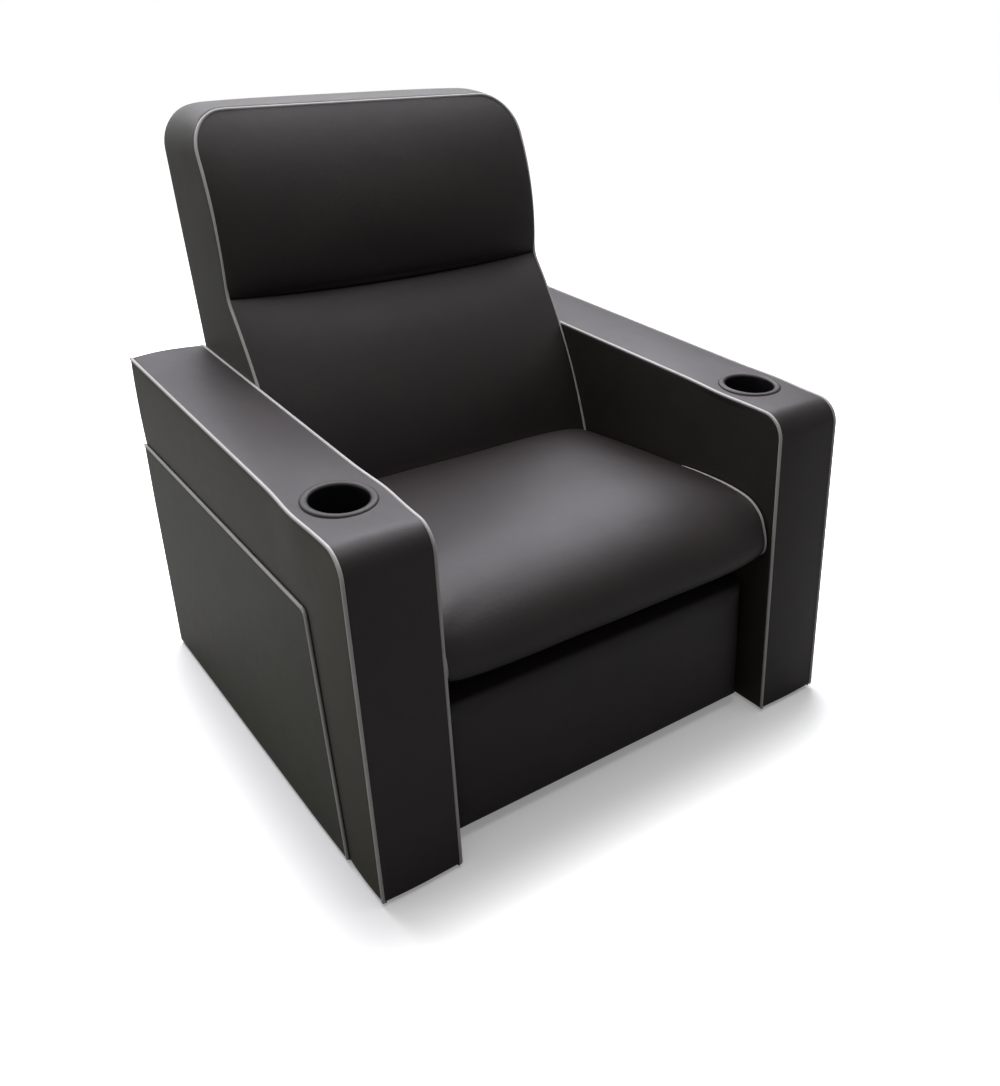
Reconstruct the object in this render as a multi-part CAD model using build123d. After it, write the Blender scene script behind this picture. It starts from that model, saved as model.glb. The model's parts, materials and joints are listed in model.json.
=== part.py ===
from build123d import *
import math
import os

# Cinema recliner seat. Lengths in millimetres, angles in degrees.
# X runs across the seat, Z up. While the pieces are drawn, Y is measured backwards from
# the front foot of the arms; on saving, everything is shifted so that Y = 0 is the middle
# of the seat's depth.

# ---- overall sizes -------------------------------------------------------------------
INNER_WIDTH = 706.0            # clear width between the two arms
ARM_WIDTH = 147.0              # width of one arm, inner face to outer face
ARM_LENGTH = 930.0             # arm, front foot to rear face
ARM_FRONT_HEIGHT = 606.0       # arm top at the front corner
ARM_REAR_HEIGHT = 656.0        # arm top at the rear
ARM_FRONT_SETBACK = 38.7       # how far the arm's front leans back at the top
ARM_NOSE_RADIUS = 44.0         # rounded corner between arm top and arm front
SEAT_HEIGHT = 448.0            # highest line of the seat cushion
BACK_HEIGHT = 1095.0           # top of the backrest
BACK_GAP = 1.0                 # backrest to each arm
BACK_CORNER_RADIUS = 75.0      # rounded top corners of the backrest
GLIDE_HEIGHT = 5.0             # plastic feet under the arms

# ---- arm construction ----------------------------------------------------------------
ARM_PAD = 15.0                 # foam and leather over the arm's top and front
COVER = 6.0                    # thin foam and leather on flat sides
PLYWOOD = 15.0
SIDE_PANEL_PROUD = 6.0         # raised side panel stands this far out of its surround
SIDE_PANEL_FRONT_LOW = 114.5   # raised side panel: front edge at the floor
SIDE_PANEL_FRONT_HIGH = 172.6  # raised side panel: front edge at its top corner
SIDE_PANEL_FRONT_TOP = 459.0
SIDE_PANEL_REAR_TOP = 477.0
SIDE_PANEL_RADIUS = 14.0
CUP_RADIUS = 44.6              # bore of the cup holder
CUP_DEPTH = 75.0
CUP_WALL = 2.0
CUP_FLANGE_RADIUS = 55.5
CUP_FLANGE = 3.0
CUP_FROM_FRONT = 183.0
CUP_FIT = 0.3
GLIDE_WIDTH = 40.0
GLIDE_LENGTH = 60.0
GLIDE_INSET = 34.0

# ---- base ----------------------------------------------------------------------------
RAIL_FRONT = 280.0
RAIL_REAR = 850.0
RAIL_LOW = 80.0
RAIL_HIGH = 130.0
RAIL_FLANGE = 28.0
RAIL_STEEL = 3.0
BASE_TUBE = 25.0
TUBE_WALL = 2.0
BASE_TUBE_PLACES = (340.0, 800.0)
BOLT_HEAD_RADIUS = 7.5         # hexagon heads, to the corners
BOLT_HEAD = 5.0
RAIL_BOLT_PLACES = (480.0, 830.0)
KICK_PANEL = 12.0
KICK_PANEL_INSET = 13.0        # from the arms' rear faces
KICK_PANEL_LOW = 40.0
KICK_PANEL_HIGH = 370.0
KICK_PANEL_GAP = 0.5
CLEAT = 20.0

# ---- seat glide ----------------------------------------------------------------------
SWING_LENGTH = 120.0
SWING_LEAN = 30.0              # swing links lean back this much at rest
SWING_FOOT = 100.0             # height of the lower pivots
FRONT_SWING_FOOT = 330.0
REAR_SWING_FOOT = 680.0
SWING_WIDTH = 24.0
SWING_STEEL = 5.0
LINK_TUBE = 16.0               # square cross tubes that join left and right links
LINK_TUBE_WALL = 2.0
SWING_TUBE_PLACE = 60.0        # cross tube, measured along the link from its lower pivot
SWING_PIN_RADIUS = 7.0
PIN_HEAD_RADIUS = 10.0         # hexagon heads, to the corners
PIN_HEAD = 2.5
PIN_END_GAP = 0.3              # from a link to the head or spacer beside it
RAIL_GAP = 0.5                 # swing links to the rails
STOP_BLOCK = 16.0
STOP_PLACE = 30.0
STOP_GAP = 0.3

# ---- seat carriage -------------------------------------------------------------------
SIDE_PLATE = 4.0
PLATE_MARGIN = 16.0            # metal left round a pivot or tube
CARRIAGE_TUBE = 25.0
CARRIAGE_TUBE_PLACES = (290.0, 590.0)
CARRIAGE_TUBE_LOW = 260.0
SEAT_FRAME_GAP = 5.5           # wooden seat frame to the innermost links
SEAT_FRAME_FRONT = 152.0
SEAT_FRAME_REAR = 640.0
SEAT_FRAME_BOARD = 25.0
SEAT_FRAME_HEIGHT = 45.0
WEBBING_WIDTH = 50.0
WEBBING = 2.0
WEAVE = 1.2                    # a strap's rise or dip where it crosses another
LONG_STRAPS = 5
LONG_STRAP_PITCH = 110.0
CROSS_STRAPS = 4
CROSS_STRAP_PITCH = 100.0
CUSHION_GAP = 6.0              # seat cushion to each arm
CUSHION_LOW = 333.5
CUSHION_FRONT = 27.0           # foremost line, at CUSHION_FRONT_LEVEL
CUSHION_FRONT_LEVEL = 358.0
CUSHION_NOSE = (62.0, 442.0)   # upper front corner, as (y, z), before rounding
CUSHION_NOSE_RADIUS = 36.0
CUSHION_CREST = 150.0          # distance from the front to the highest line
CUSHION_REAR_DROP = 8.0
CUSHION_LIP_LOW = 330.0        # lip in front of the frame
CUSHION_LIP_FRONT = 39.0
CUSHION_LIP_REAR = 71.0
CUSHION_LIP_SLOPE = 8.0
SOFT_GAP = 1.0                 # seat cushion to backrest

# ---- backrest ------------------------------------------------------------------------
BACK_LOW = 400.0
BACK_SEAM = 779.0              # seam between lumbar cushion and headrest
BACK_PIVOT = (700.0, 330.0)
LUMBAR_LOW = (557.8, 398.0)    # front outline of the backrest, as (y, z)
LUMBAR_MIDDLE = (641.0, 598.0)
SEAM_POINT = (761.0, 779.0)
HEADREST_MIDDLE = (776.4, 929.0)
HEADREST_TOP = (864.8, 1101.0)
BACK_REAR_PLACE = 914.0        # rear outline passes here at BACK_REAR_LEVEL
BACK_REAR_LEVEL = 610.0
BACK_REAR_LEAN = 9.8
BACK_FOAM = 88.0
BOXING = 7.0
REAR_COVER = 5.0
BACK_BOARD = 18.0
BACK_FRAME_RAISE = 5.0         # wooden frame above the cushion's lower edge
SIDE_BOARD_HIGH = 1018.0
BACK_RAIL_FIT = 0.2
STRAP_LEVELS = (480.0, 560.0, 640.0, 720.0, 850.0, 940.0)
BRACKET_STEEL = 4.0
BRACKET_BOLTS = ((738.0, 450.0), (790.0, 520.0))
BRACKET_MARGIN = 17.0
BACK_PIN_RADIUS = 8.0
BACK_PIN_HEAD_RADIUS = 13.0

# ---- recline link --------------------------------------------------------------------
CRANK_POINT = (743.0, 235.6)
RECLINE_POINT = (778.4, 206.2)
RECLINE_SLACK = 0.9            # play at the link's front pivot
RECLINE_WIDTH = 24.0
BRACKET_ARM_WIDTH = 30.0
CRANK_BOSS_RADIUS = 15.6
LINK_PIN_RADIUS = 6.0

# ---- footrest linkage ----------------------------------------------------------------
LINK_STEEL = 4.0
LINK_WIDTH = 21.0
LINK_GAP = 1.0                 # between neighbouring links
PIVOT_FIT = 0.05               # running clearance of a pin, on the radius
OPEN_PIVOT_FIT = 0.1
DRIVE_PIVOT = (165.0, 250.0)
DRIVE_LENGTH = 221.0
DRIVE_ANGLE = -66.5            # drive link, folded, from the rearward horizontal
EXTENSION_LENGTH = 219.0
EXTENSION_ANGLE = 125.8
PARALLEL_OFFSET = 80.0         # between the two pivot rows of each parallelogram
GUIDE_TUBE_PLACE = 36.0

# ---- footrest panel ------------------------------------------------------------------
FOOTREST_GAP = 12.0            # footrest panel to each arm
FOOTREST_LOW = 15.0
FOOTREST_HIGH = 270.0
FOOTREST_FRONT = 50.0          # front face at its lower edge
FOOTREST_LEAN = 4.26
FOOTREST_THICKNESS = 37.0
FOOTREST_BOARD = 15.0
FOOTREST_MARGIN = 18.0
FOOTREST_RADIUS = 14.0
BRACKET_FLANGE = 24.0
BRACKET_OVERRUN = 12.0         # footrest brackets reach this far past their pivots

# ---- values worked out from the above ------------------------------------------------
ARM_INNER = INNER_WIDTH / 2
ARM_OUTER = ARM_INNER + ARM_WIDTH
ARM_LEAN = math.atan(ARM_FRONT_SETBACK / ARM_FRONT_HEIGHT)
ARM_RISE = math.atan((ARM_REAR_HEIGHT - ARM_FRONT_HEIGHT) / (ARM_LENGTH - ARM_FRONT_SETBACK))
ARM_BOARD_REAR = ARM_LENGTH - COVER
KICK_PANEL_FRONT = ARM_LENGTH - KICK_PANEL_INSET - KICK_PANEL
ARM_MIDDLE = (ARM_INNER + ARM_OUTER) / 2
BOARD_INNER = ARM_INNER + COVER + PLYWOOD
BOARD_OUTER = ARM_OUTER - COVER - PLYWOOD
RAIL_FACE = ARM_INNER - RAIL_STEEL
SWING_FACE = RAIL_FACE - RAIL_GAP
SIDE_PLATE_FACE = SWING_FACE - SWING_STEEL - LINK_GAP
SIDE_PLATE_INNER = SIDE_PLATE_FACE - SIDE_PLATE
DRIVE_FACE = SIDE_PLATE_INNER - LINK_GAP
EXTENSION_FACE = DRIVE_FACE - LINK_STEEL - LINK_GAP
GUIDE_FACE = EXTENSION_FACE - LINK_STEEL - LINK_GAP
STABILISER_FACE = GUIDE_FACE - LINK_STEEL - LINK_GAP
SEAT_FRAME_HALF_WIDTH = STABILISER_FACE - LINK_STEEL - SEAT_FRAME_GAP
CUSHION_HALF_WIDTH = ARM_INNER - CUSHION_GAP
FOOTREST_HALF_WIDTH = ARM_INNER - FOOTREST_GAP
BACK_HALF_WIDTH = ARM_INNER - BACK_GAP
SIDE_BOARD_FACE = BACK_HALF_WIDTH - BOXING
BRACKET_FACE = SIDE_BOARD_FACE - BACK_BOARD
RECLINE_FACE = BRACKET_FACE - BRACKET_STEEL - LINK_GAP
CRANK_FACE = RECLINE_FACE - LINK_STEEL - LINK_GAP
SEAT_FRAME_TOP = CARRIAGE_TUBE_LOW + CARRIAGE_TUBE + SEAT_FRAME_HEIGHT
WEBBING_LEVEL = SEAT_FRAME_TOP + WEBBING / 2
BACK_FRAME_LOW = BACK_LOW + BACK_FRAME_RAISE
OVERCUT = 1.0                  # cutting shapes reach this far past what they cut
FAR = 3000.0                   # clear of everything


def back_rear_y(level, inset=0.0):
    """Rear outline of the backrest at a height, moved forwards by inset."""
    return BACK_REAR_PLACE + (level - BACK_REAR_LEVEL) * math.tan(math.radians(BACK_REAR_LEAN)) - inset


ARM_FOOT_Y = GLIDE_HEIGHT * math.tan(ARM_LEAN)
MIDDLE_Y = (ARM_FOOT_Y + back_rear_y(BACK_HEIGHT)) / 2


# ---- drawing helpers -----------------------------------------------------------------
def along(start, distance, angle):
    """The point at a distance from start, at an angle in the side view."""
    turn = math.radians(angle)
    return (start[0] + distance * math.cos(turn), start[1] + distance * math.sin(turn))


def polygon(*points):
    return make_face(Polyline(*points, close=True))


def round_corner(face, corner, radius):
    """The face with the vertex nearest to corner rounded."""
    vertex = face.vertices().sort_by_distance((corner[0], corner[1], 0))[0]
    return fillet(vertex, radius)


def slab(face, x_start, thickness):
    """A side-view face, drawn as (y, z), given a thickness along +X."""
    return Plane.YZ.offset(x_start) * extrude(face, thickness)


def rod(point, radius, x_start, x_end):
    """A round bar along X through a side-view point."""
    return slab(Pos(*point) * Circle(radius), min(x_start, x_end), abs(x_end - x_start))


def hexagon(point, radius, x_start, x_end):
    """A hexagonal bar along X through a side-view point, with its radius to the corners."""
    return slab(Pos(*point) * RegularPolygon(radius, 6), min(x_start, x_end), abs(x_end - x_start))


def bolt_head(point, face):
    """Head of a bolt that clamps a plate whose inner side is at x = face."""
    return hexagon(point, BOLT_HEAD_RADIUS, face - BOLT_HEAD, face)


def headed_pin(point, radius, head_radius, base, link_side):
    """A pin from a plate at x = base, through a link whose far side is at x = link_side."""
    outwards = math.copysign(1, link_side - base)
    neck = link_side + outwards * PIN_END_GAP
    return rod(point, radius, base, neck) + hexagon(point, head_radius, neck, neck + outwards * PIN_HEAD)


def square_tube(point, size, wall, half, angle=0.0):
    """A square tube along X through a side-view point, from -half to half."""
    section = Rectangle(size, size) - Rectangle(size - 2 * wall, size - 2 * wall)
    return slab(Pos(*point) * Rot(0, 0, angle) * section, -half, 2 * half)


def bar(start, end, width):
    """Side-view outline of a flat bar with round ends."""
    length = math.dist(start, end)
    angle = math.degrees(math.atan2(end[1] - start[1], end[0] - start[0]))
    middle = ((start[0] + end[0]) / 2, (start[1] + end[1]) / 2)
    return Pos(*middle) * SlotCenterToCenter(length, width, rotation=angle)


def pierced(face, *holes):
    """The face with round holes, each given as (point, radius)."""
    for point, radius in holes:
        face -= Pos(*point) * Circle(radius)
    return face


def cuboid(x_span, y_span, z_span):
    """A box from its three pairs of limits."""
    size = [span[1] - span[0] for span in (x_span, y_span, z_span)]
    middle = [(span[0] + span[1]) / 2 for span in (x_span, y_span, z_span)]
    return Pos(*middle) * Box(*size)


def mirrored(shape):
    return mirror(shape, about=Plane.YZ)


def save(name, *shapes):
    """Write the solids of the given shapes as one piece."""
    solids = [solid for shape in shapes for solid in (Pos(0, -MIDDLE_Y, 0) * shape).solids()]
    export_step(Compound(children=solids), os.path.join("parts", name + ".step"))


def save_pair(name, *shapes):
    """Write the given right-hand shapes together with their mirror images."""
    save(name, *shapes, *[mirrored(shape) for shape in shapes])


def save_sides(name, *shapes):
    """Write the right-hand shapes and their mirror images as two pieces."""
    save(name + "_right", *shapes)
    save(name + "_left", *[mirrored(shape) for shape in shapes])


# ---- arms ----------------------------------------------------------------------------
def arm_front_y(level, inset=0.0):
    return inset / math.cos(ARM_LEAN) + level * math.tan(ARM_LEAN)


def arm_top_z(y, inset=0.0):
    return ARM_FRONT_HEIGHT + (y - ARM_FRONT_SETBACK) * math.tan(ARM_RISE) - inset / math.cos(ARM_RISE)


def arm_corner(inset=0.0):
    """Where the arm's front and top lines meet, before rounding."""
    lean, rise = math.tan(ARM_LEAN), math.tan(ARM_RISE)
    y = (arm_front_y(0, inset) + arm_top_z(0, inset) * lean) / (1 - lean * rise)
    return (y, arm_top_z(y, inset))


def arm_outline(inset, rear, low):
    """Side view of the arm, with its front and top moved inwards by inset."""
    corner = arm_corner(inset)
    face = polygon((arm_front_y(low, inset), low), corner, (rear, arm_top_z(rear, inset)), (rear, low))
    return round_corner(face, corner, ARM_NOSE_RADIUS - inset)


def side_panel_outline():
    """Side view of the raised panel on the arm's outer side."""
    corner = (SIDE_PANEL_FRONT_HIGH, SIDE_PANEL_FRONT_TOP)
    face = polygon((SIDE_PANEL_FRONT_LOW, GLIDE_HEIGHT), corner,
                   (ARM_LENGTH, SIDE_PANEL_REAR_TOP), (ARM_LENGTH, GLIDE_HEIGHT))
    return round_corner(face, corner, SIDE_PANEL_RADIUS)


def cup_place(height=0.0):
    """Plane at the cup holder, on the arm's top face or height above it."""
    tilt = (0, -math.sin(ARM_RISE), math.cos(ARM_RISE))
    top = Plane(origin=(ARM_MIDDLE, CUP_FROM_FRONT, arm_top_z(CUP_FROM_FRONT)), x_dir=(1, 0, 0), z_dir=tilt)
    return top.offset(height)


def cup_hole():
    """What the cup holder's body takes out of the arm's top."""
    radius = CUP_RADIUS + CUP_WALL + CUP_FIT
    return cup_place(-CUP_DEPTH) * extrude(Circle(radius), 2 * CUP_DEPTH)


def cup_holder():
    body = CUP_RADIUS + CUP_WALL
    section = polygon((0, -CUP_DEPTH), (body, -CUP_DEPTH), (body, 0), (CUP_FLANGE_RADIUS, 0),
                      (CUP_FLANGE_RADIUS - CUP_FLANGE, CUP_FLANGE), (CUP_RADIUS, CUP_FLANGE),
                      (CUP_RADIUS, CUP_WALL - CUP_DEPTH), (0, CUP_WALL - CUP_DEPTH))
    return cup_place() * revolve(Plane.XZ * section, Axis.Z)


def arm_boards():
    """Nose block, front, top, rear and bottom boards between the plywood panels."""
    depth = ARM_PAD + PLYWOOD
    corner = arm_corner(ARM_PAD)
    nose_low = corner[1] - ARM_NOSE_RADIUS
    nose_rear = corner[0] + ARM_NOSE_RADIUS
    rear = ARM_BOARD_REAR - PLYWOOD
    low = GLIDE_HEIGHT + PLYWOOD
    nose_view = arm_outline(ARM_PAD, ARM_BOARD_REAR, GLIDE_HEIGHT)
    nose_view &= polygon((0, nose_low), (nose_rear, nose_low), (nose_rear, FAR), (0, FAR))
    front = polygon((arm_front_y(low, ARM_PAD), low), (arm_front_y(nose_low, ARM_PAD), nose_low),
                    (arm_front_y(nose_low, depth), nose_low), (arm_front_y(low, depth), low))
    top = polygon((nose_rear, arm_top_z(nose_rear, ARM_PAD)), (rear, arm_top_z(rear, ARM_PAD)),
                  (rear, arm_top_z(rear, depth)), (nose_rear, arm_top_z(nose_rear, depth)))
    back = polygon((rear, low), (ARM_BOARD_REAR, low), (ARM_BOARD_REAR, arm_top_z(ARM_BOARD_REAR, ARM_PAD)),
                   (rear, arm_top_z(rear, ARM_PAD)))
    bottom = polygon((arm_front_y(GLIDE_HEIGHT, ARM_PAD), GLIDE_HEIGHT), (arm_front_y(low, ARM_PAD), low),
                     (ARM_BOARD_REAR, low), (ARM_BOARD_REAR, GLIDE_HEIGHT))
    boards = [slab(view, BOARD_INNER, BOARD_OUTER - BOARD_INNER)
              for view in (nose_view, front, back, bottom)]
    return boards + [slab(top, BOARD_INNER, BOARD_OUTER - BOARD_INNER) - cup_hole()]


def build_arms():
    panel_view = arm_outline(ARM_PAD, ARM_BOARD_REAR, GLIDE_HEIGHT)
    cover_view = arm_outline(ARM_PAD, ARM_LENGTH, GLIDE_HEIGHT)
    pad_view = arm_outline(0, ARM_LENGTH, GLIDE_HEIGHT) - arm_outline(ARM_PAD, ARM_LENGTH + OVERCUT, 0)
    save_sides("arm_inner_panel", slab(panel_view, ARM_INNER + COVER, PLYWOOD))
    save_sides("arm_outer_panel", slab(panel_view, BOARD_OUTER, PLYWOOD))
    save_sides("arm_boards", *arm_boards())
    save_sides("arm_top_pad", slab(pad_view, ARM_INNER, ARM_WIDTH) - cup_hole())
    save_sides("arm_inner_cover", slab(cover_view, ARM_INNER, COVER))
    save_sides("arm_outer_cover", slab(cover_view - side_panel_outline(), ARM_OUTER - COVER, COVER))
    save_sides("arm_side_panel", slab(side_panel_outline(), ARM_OUTER - COVER, COVER + SIDE_PANEL_PROUD))
    rear_view = polygon((ARM_BOARD_REAR, GLIDE_HEIGHT), (ARM_LENGTH, GLIDE_HEIGHT),
                        (ARM_LENGTH, arm_top_z(ARM_LENGTH, ARM_PAD)),
                        (ARM_BOARD_REAR, arm_top_z(ARM_BOARD_REAR, ARM_PAD)))
    save_pair("arm_rear_covers", slab(rear_view, ARM_INNER + COVER, ARM_WIDTH - 2 * COVER))
    save_pair("cup_holders", cup_holder())
    glides = [cuboid((x - GLIDE_WIDTH / 2, x + GLIDE_WIDTH / 2), (y, y + GLIDE_LENGTH), (0, GLIDE_HEIGHT))
              for x in (ARM_INNER + GLIDE_INSET, ARM_OUTER - GLIDE_INSET)
              for y in (ARM_PAD, ARM_LENGTH - COVER - GLIDE_LENGTH)]
    save_pair("floor_glides", *glides)


# ---- base ----------------------------------------------------------------------------
def swing_top(foot):
    """Upper pivot of a swing link at rest."""
    return along((foot, SWING_FOOT), SWING_LENGTH, 90 - SWING_LEAN)


def build_base():
    level = (RAIL_LOW + RAIL_HIGH) / 2
    web = polygon((RAIL_FRONT, RAIL_LOW), (RAIL_REAR, RAIL_LOW),
                  (RAIL_REAR, RAIL_HIGH), (RAIL_FRONT, RAIL_HIGH))
    rail = slab(web, RAIL_FACE, RAIL_STEEL)
    rail += cuboid((RAIL_FACE - RAIL_FLANGE, RAIL_FACE), (RAIL_FRONT, RAIL_REAR),
                   (RAIL_LOW, RAIL_LOW + RAIL_STEEL))
    link_inner = SWING_FACE - SWING_STEEL
    for foot in (FRONT_SWING_FOOT, REAR_SWING_FOOT):
        rail += headed_pin((foot, SWING_FOOT), SWING_PIN_RADIUS, PIN_HEAD_RADIUS, RAIL_FACE, link_inner)
    for place in RAIL_BOLT_PLACES:
        rail += bolt_head((place, level), RAIL_FACE)
    save_pair("base_rails", rail)
    save("base_cross_tubes", *[square_tube((y + BASE_TUBE / 2, RAIL_LOW - BASE_TUBE / 2), BASE_TUBE,
                                           TUBE_WALL, RAIL_FACE) for y in BASE_TUBE_PLACES])
    stop = along((FRONT_SWING_FOOT, SWING_FOOT), STOP_PLACE, 90 - SWING_LEAN)
    stop = along(stop, (SWING_WIDTH + STOP_BLOCK) / 2 + STOP_GAP, -SWING_LEAN)
    block = Pos(*stop) * Rot(0, 0, -SWING_LEAN) * Rectangle(STOP_BLOCK, STOP_BLOCK)
    save_pair("swing_stops", slab(block, link_inner, RAIL_FACE - link_inner))

    half = ARM_INNER - KICK_PANEL_GAP
    save("rear_kick_panel", cuboid((-half, half), (KICK_PANEL_FRONT, KICK_PANEL_FRONT + KICK_PANEL),
                                   (KICK_PANEL_LOW, KICK_PANEL_HIGH)))
    save_pair("kick_panel_cleats", cuboid((ARM_INNER - CLEAT, ARM_INNER),
                                          (KICK_PANEL_FRONT - CLEAT, KICK_PANEL_FRONT),
                                          (KICK_PANEL_LOW + CLEAT, KICK_PANEL_HIGH - CLEAT)))


# ---- seat glide ----------------------------------------------------------------------
def swing_link(foot):
    lower = (foot, SWING_FOOT)
    view = pierced(bar(lower, swing_top(foot), SWING_WIDTH),
                   (lower, SWING_PIN_RADIUS + PIVOT_FIT), (swing_top(foot), SWING_PIN_RADIUS + PIVOT_FIT))
    return slab(view, SWING_FACE - SWING_STEEL, SWING_STEEL)


def swing_tube_point(foot):
    return along((foot, SWING_FOOT), SWING_TUBE_PLACE, 90 - SWING_LEAN)


def swing_tube(foot):
    """Cross tube that makes the left and right swing links turn together."""
    half = SWING_FACE - SWING_STEEL
    return square_tube(swing_tube_point(foot), LINK_TUBE, LINK_TUBE_WALL, half, -SWING_LEAN)


def recline_crank():
    """Crank on the rear swing's cross tube, with the stud that pushes the recline link."""
    tube = swing_tube_point(REAR_SWING_FOOT)
    view = bar(tube, CRANK_POINT, SWING_WIDTH) + Pos(*tube) * Circle(CRANK_BOSS_RADIUS)
    view -= Pos(*tube) * Rot(0, 0, -SWING_LEAN) * Rectangle(LINK_TUBE, LINK_TUBE)
    pin = rod(CRANK_POINT, LINK_PIN_RADIUS, CRANK_FACE, RECLINE_FACE + PIN_END_GAP)
    return slab(view, CRANK_FACE - LINK_STEEL, LINK_STEEL) + pin


def build_seat_glide():
    save_pair("front_swing_links", swing_link(FRONT_SWING_FOOT))
    save("front_swing_tube", swing_tube(FRONT_SWING_FOOT))
    save_pair("rear_swing_links", swing_link(REAR_SWING_FOOT))
    save("rear_swing_tube", swing_tube(REAR_SWING_FOOT))
    save_pair("recline_cranks", recline_crank())


# ---- seat carriage -------------------------------------------------------------------
def drive_point(distance, origin=DRIVE_PIVOT):
    """A point along the folded drive link, or along a line parallel to it."""
    return along(origin, distance, DRIVE_ANGLE)


LOWER_KNEE = drive_point(DRIVE_LENGTH)
FOOTREST_PIVOT = along(LOWER_KNEE, EXTENSION_LENGTH, EXTENSION_ANGLE)
GUIDE_PIVOT = along(DRIVE_PIVOT, PARALLEL_OFFSET, EXTENSION_ANGLE)
CROSSING = along(LOWER_KNEE, PARALLEL_OFFSET, EXTENSION_ANGLE)
GUIDE_KNEE = drive_point(PARALLEL_OFFSET, CROSSING)
BRACKET_POINT = drive_point(PARALLEL_OFFSET, FOOTREST_PIVOT)


def side_plate_view():
    """Outline of the seat side plate, run round its pivots and tubes with a margin of metal."""
    edge = PLATE_MARGIN
    (guide_y, guide_z), (drive_y, drive_z), (back_y, back_z) = GUIDE_PIVOT, DRIVE_PIVOT, BACK_PIVOT
    (front_y, hanger_z), (rear_y, hanger_z) = swing_top(FRONT_SWING_FOOT), swing_top(REAR_SWING_FOOT)
    low, high = CARRIAGE_TUBE_LOW - edge, CARRIAGE_TUBE_LOW + CARRIAGE_TUBE + edge
    front_tube, rear_tube = CARRIAGE_TUBE_PLACES
    return polygon((guide_y - edge, guide_z + edge), (guide_y - edge, guide_z),
                   (drive_y - edge, drive_z - edge), (drive_y + edge, drive_z - edge), (front_tube, low),
                   (front_y - edge, hanger_z - edge), (front_y + edge, hanger_z - edge),
                   (front_y + 2 * edge, low), (rear_tube + CARRIAGE_TUBE, low),
                   (rear_y - edge, hanger_z - edge), (rear_y + edge, hanger_z - edge),
                   (rear_y + edge, hanger_z),
                   (back_y + edge, back_z), (back_y, back_z + edge), (back_y - edge, back_z + edge),
                   (rear_tube + CARRIAGE_TUBE, high), (front_tube, high), (guide_y + edge, guide_z + edge))


def side_plate():
    """Right side plate with the pins that the swings, footrest links and backrest turn on."""
    plate = slab(side_plate_view(), SIDE_PLATE_INNER, SIDE_PLATE)
    for foot in (FRONT_SWING_FOOT, REAR_SWING_FOOT):
        plate += headed_pin(swing_top(foot), SWING_PIN_RADIUS, PIN_HEAD_RADIUS, SIDE_PLATE_FACE, SWING_FACE)
    plate += headed_pin(DRIVE_PIVOT, LINK_PIN_RADIUS, PIN_HEAD_RADIUS, SIDE_PLATE_INNER,
                        DRIVE_FACE - LINK_STEEL)
    guide_spacer = GUIDE_FACE + PIN_END_GAP
    plate += hexagon(GUIDE_PIVOT, PIN_HEAD_RADIUS, guide_spacer, SIDE_PLATE_INNER)
    plate += rod(GUIDE_PIVOT, LINK_PIN_RADIUS, GUIDE_FACE - LINK_STEEL, guide_spacer)
    back_spacer = BRACKET_FACE + PIN_END_GAP
    plate += hexagon(BACK_PIVOT, BACK_PIN_HEAD_RADIUS, back_spacer, SIDE_PLATE_INNER)
    return plate + headed_pin(BACK_PIVOT, BACK_PIN_RADIUS, BACK_PIN_HEAD_RADIUS, back_spacer,
                              BRACKET_FACE - BRACKET_STEEL)


def woven_strap(start, end, crossings, first_rise):
    """Lengthwise section of a strap that passes over and under others, as (distance, height).

    Both ends lie flat on the frame boards."""
    line = [(start, 0.0), (start + SEAT_FRAME_BOARD, 0.0)]
    for number, place in enumerate(crossings):
        height = first_rise * WEAVE * (-1) ** number
        line += [(place - WEBBING_WIDTH / 2, height), (place + WEBBING_WIDTH / 2, height)]
    line += [(end - SEAT_FRAME_BOARD, 0.0), (end, 0.0)]
    upper = [(place, height + WEBBING / 2) for place, height in line]
    lower = [(place, height - WEBBING / 2) for place, height in reversed(line)]
    return Pos(0, WEBBING_LEVEL) * polygon(*upper, *lower)


def seat_webbing():
    middle_y = (SEAT_FRAME_FRONT + SEAT_FRAME_REAR) / 2
    columns = [(n - (LONG_STRAPS - 1) / 2) * LONG_STRAP_PITCH for n in range(LONG_STRAPS)]
    rows = [middle_y + (n - (CROSS_STRAPS - 1) / 2) * CROSS_STRAP_PITCH for n in range(CROSS_STRAPS)]
    straps = []
    for n, x in enumerate(columns):
        view = woven_strap(SEAT_FRAME_FRONT, SEAT_FRAME_REAR, rows, (-1) ** n)
        straps.append(slab(view, x - WEBBING_WIDTH / 2, WEBBING_WIDTH))
    for n, y in enumerate(rows):
        view = woven_strap(-SEAT_FRAME_HALF_WIDTH, SEAT_FRAME_HALF_WIDTH, columns, -(-1) ** n)
        straps.append(Pos(0, y + WEBBING_WIDTH / 2, 0) * extrude(Plane.XZ * view, WEBBING_WIDTH))
    return straps


def seat_frame():
    low = CARRIAGE_TUBE_LOW + CARRIAGE_TUBE
    half, board = SEAT_FRAME_HALF_WIDTH, SEAT_FRAME_BOARD
    height = (low, SEAT_FRAME_TOP)
    front_rear = [cuboid((-half, half), span, height)
                  for span in ((SEAT_FRAME_FRONT, SEAT_FRAME_FRONT + board),
                               (SEAT_FRAME_REAR - board, SEAT_FRAME_REAR))]
    side = cuboid((half - board, half), (SEAT_FRAME_FRONT + board, SEAT_FRAME_REAR - board), height)
    return front_rear + [side, mirrored(side)]


def lumbar_arc(shift=0.0):
    return ThreePointArc(*[(y + shift, z) for y, z in (LUMBAR_LOW, LUMBAR_MIDDLE, SEAM_POINT)])


def headrest_arc(shift=0.0):
    return ThreePointArc(*[(y + shift, z) for y, z in (SEAM_POINT, HEADREST_MIDDLE, HEADREST_TOP)])


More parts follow.
